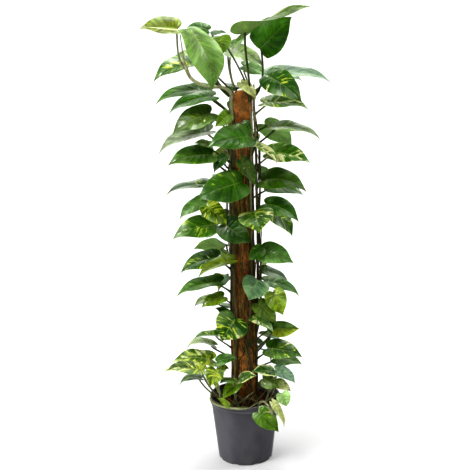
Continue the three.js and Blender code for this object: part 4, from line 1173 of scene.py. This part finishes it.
# Pothos blade: green, with yellow and cream streaks that follow the side veins, and patches of painted sheen
# that grow paler towards the margin
def blade_look():
    look = Look("pothos_blade")
    side, along, seed = look.attribute("leaf_grid").split()
    yellow, cream, pale_rib_and_sheen = look.attribute("leaf_paint").split()
    half_side, margin, under = look.attribute("leaf_kind").split()
    out = abs(side)

    def joined(x, y, z):
        return look.node("CombineXYZ", {0: x, 1: y, 2: z})

    def veined(across, down, offset, detail, rough=0.5):
        return look.noise(joined(side * across, along * down, seed + offset), 1.0, detail, rough)

    wander = look.noise(joined(side * 2.0, along * 5.0, seed), 1.0, 2.0)
    vein_wave = ((along * SIDE_VEINS + wander * 0.5) * TAU).math("COSINE")
    vein = vein_wave.math("MAXIMUM", 0.0).math("POWER", 12.0) * out.step(1.0, 0.75)
    rib = (out / pale_rib_and_sheen.spread(0.3, 1.0, 0.040, 0.130)).step(1.0, 0.30)

    patches = veined(1.4, 3.0, 0.0, 2.0)
    streaks = veined(1.0, 20.0, 4.3, 3.0, 0.6)
    fine = veined(2.4, 60.0, 9.1, 2.0)
    pattern = patches * 0.34 + (streaks * 0.48 + fine * 0.18)
    toward_half = half_side * side
    kept_half = abs(half_side) * toward_half.spread(-0.02, 0.02, -0.30, 0.10)
    limit = yellow.spread(-1.0, 1.0, 0.935, 0.355)
    gold = (pattern + kept_half - limit).step(-0.020, 0.035)

    bands = veined(0.8, 15.0, 31.7, 4.0, 0.62)
    islands = veined(1.5, 3.2, 37.9, 2.0)
    pale_limit = cream.spread(-1.0, 1.0, 1.02, 0.36)
    cream_mask = (bands * 0.58 + islands * 0.42 - pale_limit).step(-0.008, 0.024)
    uneven_edge = (out + bands.vary(-0.20, 0.20)).step(0.78, 0.86)
    half_band = toward_half.step(0.03, -0.03) * toward_half.step(-0.40, -0.28)
    edge = look.mix(abs(half_side), uneven_edge, half_band)
    cream_mask = cream_mask.math("MAXIMUM", margin * edge)

    green = look.attribute("leaf_green").brighten(patches.spread(0.30, 0.70, 0.70, 1.40))
    green = green.brighten(streaks.spread(0.32, 0.68, 0.60, 1.48))
    green = look.mix(fine.step(0.52, 0.72) * 0.22, green, green.brighten(2.4))
    green = look.mix(vein * 0.16, green, green.brighten(1.8))
    # Patches of this noise get the clear coat, and the same patches get a painted sheen that mixes the green
    # towards a pale grey green
    coat_and_painted_sheen = veined(0.8, 2.6, 51.3, 2.0)
    painted_sheen_mask = coat_and_painted_sheen.step(0.46, 0.64) * out.spread(0.10, 1.0, 0.25, 0.95)
    painted_sheen_mask = painted_sheen_mask * pale_rib_and_sheen.spread(0.3, 0.6, 0.25, 0.90)
    green = look.mix(painted_sheen_mask, green, look.mix(0.55, green.brighten(1.8), PAINTED_SHEEN_TONE))
    colour = look.mix(gold, green, look.mix(streaks.step(0.35, 0.65), *GOLD))
    colour = look.mix(cream_mask, colour, look.mix(fine.step(0.35, 0.65), *CREAM))
    colour = look.mix(rib * pale_rib_and_sheen, colour, MIDRIB)
    colour = look.mix(under, colour, look.mix(0.50, colour, UNDERSIDE))
    look.set(Base_Color=look.mix(out.step(0.965, 1.0) * 0.45, colour, MARGIN))

    gloss = look.grain(90.0, 3.0)
    look.set(Roughness=gloss.vary(0.25, 0.35) + under * 0.20, IOR=1.45, Specular_IOR_Level=0.4)
    look.set(Coat_Weight=coat_and_painted_sheen.spread(0.46, 0.62, 0.0, 1.0), Coat_Roughness=0.18, Coat_IOR=1.5)
    look.set(Subsurface_Weight=0.22, Subsurface_Radius=(0.45, 1.0, 0.20), Subsurface_Scale=0.0025)
    cells = look.grain(1400.0, 2.0)
    relief = vein * -0.45 + out.step(0.030, 0.0) * -0.6 + cells * 0.10 + (streaks * 0.5 + coat_and_painted_sheen * 2.0)
    return look.bump(relief, 0.00060)


def stalk_look():
    look = Look("pothos_stalk")
    grain, blotch = look.grain(320.0, 3.0, z=0.25), look.grain(45.0, 3.0)
    tone = look.attribute("leaf_green").brighten(grain.vary(0.72, 1.25))
    tone = look.mix(blotch.step(0.52, 0.66), tone, look.mix(0.6, tone, BARK))
    look.set(Base_Color=tone, Roughness=blotch.vary(0.38, 0.55))
    look.set(Subsurface_Weight=0.08, Subsurface_Radius=(0.4, 1.0, 0.2), Subsurface_Scale=0.002)
    return look.bump(grain, 0.00035)


def strand_look(name, attribute, rough):
    look = Look(name)
    grain, patch = look.grain(500.0, 2.0), look.grain(60.0, 2.0)
    tone = look.attribute(attribute).brighten(grain.vary(0.7, 1.3)).brighten(patch.vary(0.75, 1.2))
    look.set(Base_Color=tone, Roughness=grain.vary(rough - 0.08, rough + 0.08), Specular_IOR_Level=0.25)
    return look.bump(grain, 0.00015)


# Coconut fibre: red brown and orange, older and greyer towards the soil, with painted shade over the middle
# heights and painted light near the foot
def coir_look():
    look = Look("coir_mat")
    height = look.place.split()[2]
    lumps, broad = look.grain(42.0, 4.0, 0.6), look.grain(17.0, 2.0)
    fibres = look.noise(look.vectors("ADD", look.place, look.grain(30.0, 2.0)), 620.0, 3.0)
    base = look.mix(lumps.step(0.36, 0.58), *COIR)
    base = look.mix(fibres.step(0.48, 0.61), base, COIR_FIBRE)
    base = base.brighten(broad.spread(0.36, 0.62, 0.62, 1.25))
    old = look.mix(fibres.step(0.45, 0.68), *OLD_COIR)
    age = (height + lumps * 0.25).spread(0.30, 1.15, 0.62, 0.0)
    # Painted shade darkens the coir over the middle heights, and painted light brightens it near the foot
    painted_shade_middle = height.step(0.48, 0.70) * height.step(1.06, 0.88)
    painted_light_foot = height.step(0.46, 0.30)
    tone = painted_shade_middle.spread(0, 1, 1.0, 0.60) + painted_light_foot * 0.60
    look.set(Base_Color=look.mix(age, base, old).brighten(tone), Roughness=lumps.vary(0.82, 0.97))
    look.set(Specular_IOR_Level=0.25)
    return look.bump(fibres + lumps * 0.8, 0.0024)


def soil_look():
    look = Look("soil_crumb")
    lumps, grit = look.grain(110.0, 4.0, 0.6), look.grain(700.0, 3.0)
    base = look.mix(lumps.step(0.36, 0.64), *SOIL)
    look.set(Base_Color=look.mix(grit.step(0.60, 0.68), base, SOIL_GRIT))
    look.set(Roughness=grit.vary(0.80, 0.96), Specular_IOR_Level=0.3)
    return look.bump(lumps + grit, 0.0011)


# Moulded dark grey plastic with flow marks, scuffs and dust towards the rim and foot, and a painted
# highlight on the bead under the rim and on the lip
def pot_look():
    look = Look("grow_pot_plastic")
    height = look.place.split()[2]
    flow, scratch = look.grain(22.0, 4.0, 0.6, z=0.6), look.grain(60.0, 4.0, 0.7, z=14.0)
    orange_peel, dust = look.grain(950.0, 2.0), look.grain(38.0, 5.0, 0.65)
    base = look.mix(flow.step(0.32, 0.68), *PLASTIC)
    low = height.step(0.060, 0.0) * dust.step(0.40, 0.70)
    rim = height.step(0.198, 0.222) * dust.step(0.35, 0.72)
    dusty = low.math("MAXIMUM", rim) * 0.45
    base = look.mix(dusty, base, DUST)
    # Painted highlight: a pale band on the bead under the rim and on the top edge of the lip
    painted_bead_highlight = height.step(POT_WALL_TOP - 0.0006, POT_WALL_TOP + 0.0012)
    painted_bead_highlight = painted_bead_highlight * height.step(POT_WALL_TOP + 0.0062, POT_WALL_TOP + 0.0034)
    lip = height.step(POT_HEIGHT - 0.0020, POT_HEIGHT - 0.0004)
    base = look.mix(painted_bead_highlight.math("MAXIMUM", lip) * 0.55, base, PAINTED_EDGE_HIGHLIGHT)
    scuffs = scratch.step(0.64, 0.74)
    base = look.mix(scuffs * 0.35, base, SCUFF)
    look.set(Base_Color=base, Roughness=flow.vary(0.36, 0.48) + (scuffs + dusty) * 0.15)
    look.set(IOR=1.49, Sheen_Weight=0.40, Sheen_Roughness=0.30)
    return look.bump(orange_peel * 0.5 + (flow * 0.25 + scuffs * -0.3), 0.00025)


def wood_look():
    look = Look("stake_pine")
    rings, knots = look.grain(190.0, 4.0, 0.6, z=0.04), look.grain(30.0, 2.0, z=0.3)
    base = look.mix(rings.step(0.36, 0.64), *PINE)
    base = look.mix(knots.step(0.60, 0.72) * 0.6, base, PINE_KNOT)
    look.set(Base_Color=base, Roughness=rings.vary(0.62, 0.8))
    return look.bump(rings, 0.0004)


# A matt surface of the studio that also glows
def studio_look(name, rough, glow):
    look = Look(name)
    look.set(Roughness=rough, Specular_IOR_Level=0.0)
    look.set(Emission_Color=(1.0, 1.0, 1.0), Emission_Strength=glow)
    return look


# The floor and the dome round it are one pale studio. They are left out of reflections.
def make_studio():
    shade = studio_look("studio_floor", 0.9, FLOOR_GLOW)
    shade.set(Base_Color=shade.scaled(FLOOR_SHADE, shade.grain(3.0, 2.0).vary(0.995, 1.0)))
    rim = Mesh()
    rim.add(around(STUDIO_RADIUS, np.arange(STUDIO_SIDES) * TAU / STUDIO_SIDES, 0), [range(STUDIO_SIDES)])
    floor = link("floor", rim.data("floor", shade.material))

    glow = studio_look("studio_dome", 1.0, DOME_GLOW)
    glow.set(Base_Color=(0.0, 0.0, 0.0))
    wall, mesh = bmesh.new(), bpy.data.meshes.new("dome")
    bmesh.ops.create_uvsphere(wall, u_segments=64, v_segments=32, radius=STUDIO_RADIUS)
    wall.to_mesh(mesh)
    mesh.materials.append(glow.material)
    dome = link("dome", mesh)
    floor.visible_glossy = dome.visible_glossy = False
    dome.visible_diffuse = dome.visible_shadow = dome.visible_transmission = False


def make_suns():
    for name, (toward, power, width) in SUNS.items():
        lamp = bpy.data.lights.new(name, "SUN")
        lamp.energy, lamp.angle = power, math.radians(width)
        link(name, lamp).rotation_euler = Vector(toward).to_track_quat("Z", "Y").to_euler()


# Soft light from above and from the pale backdrop, and nearly none from below and in front
def make_world():
    world = bpy.data.worlds.new("studio")
    world.use_nodes = True
    sky = Nodes(world.node_tree)
    across, back, up = sky.node("TexCoord", {}, "Generated").split()
    level = up.step(0.05, 0.90) * SKY_GLOW + back.step(0.10, 0.85) * BACKDROP_GLOW * up.step(-0.25, 0.12)
    background = sky.tree.nodes["Background"].inputs
    sky.feed(background["Color"], (1, 1, 1))
    sky.feed(background["Strength"], level + across.step(-0.30, -0.95) * SIDE_GLOW)
    bpy.context.scene.world = world
    bpy.context.scene.view_settings.view_transform = "Standard"
    bpy.context.scene.view_settings.look = "High Contrast"


def make_camera():
    camera = link("camera", bpy.data.cameras.new("camera"))
    camera.data.lens, camera.data.sensor_width = CAMERA_LENS, CAMERA_SENSOR
    tilt = Matrix.Rotation(math.pi / 2 - CAMERA_DOWN, 4, "X")
    camera.matrix_world = Matrix.Translation(CAMERA_PLACE) @ tilt @ Matrix.Rotation(-CAMERA_ROLL, 4, "Z")
    bpy.context.scene.camera = camera


make_world()
make_camera()
make_studio()
make_suns()

make_leafy_stems([blade_look(), stalk_look()])
make_pot(pot_look())
make_soil(soil_look())
make_pole(coir_look(), strand_look("coir_fibre", "fibre_tone", 0.85), strand_look("root", "root_tone", 0.7))
stake = bpy.data.objects["pole_stake"]
stake.data.materials.clear()
stake.data.materials.append(wood_look())
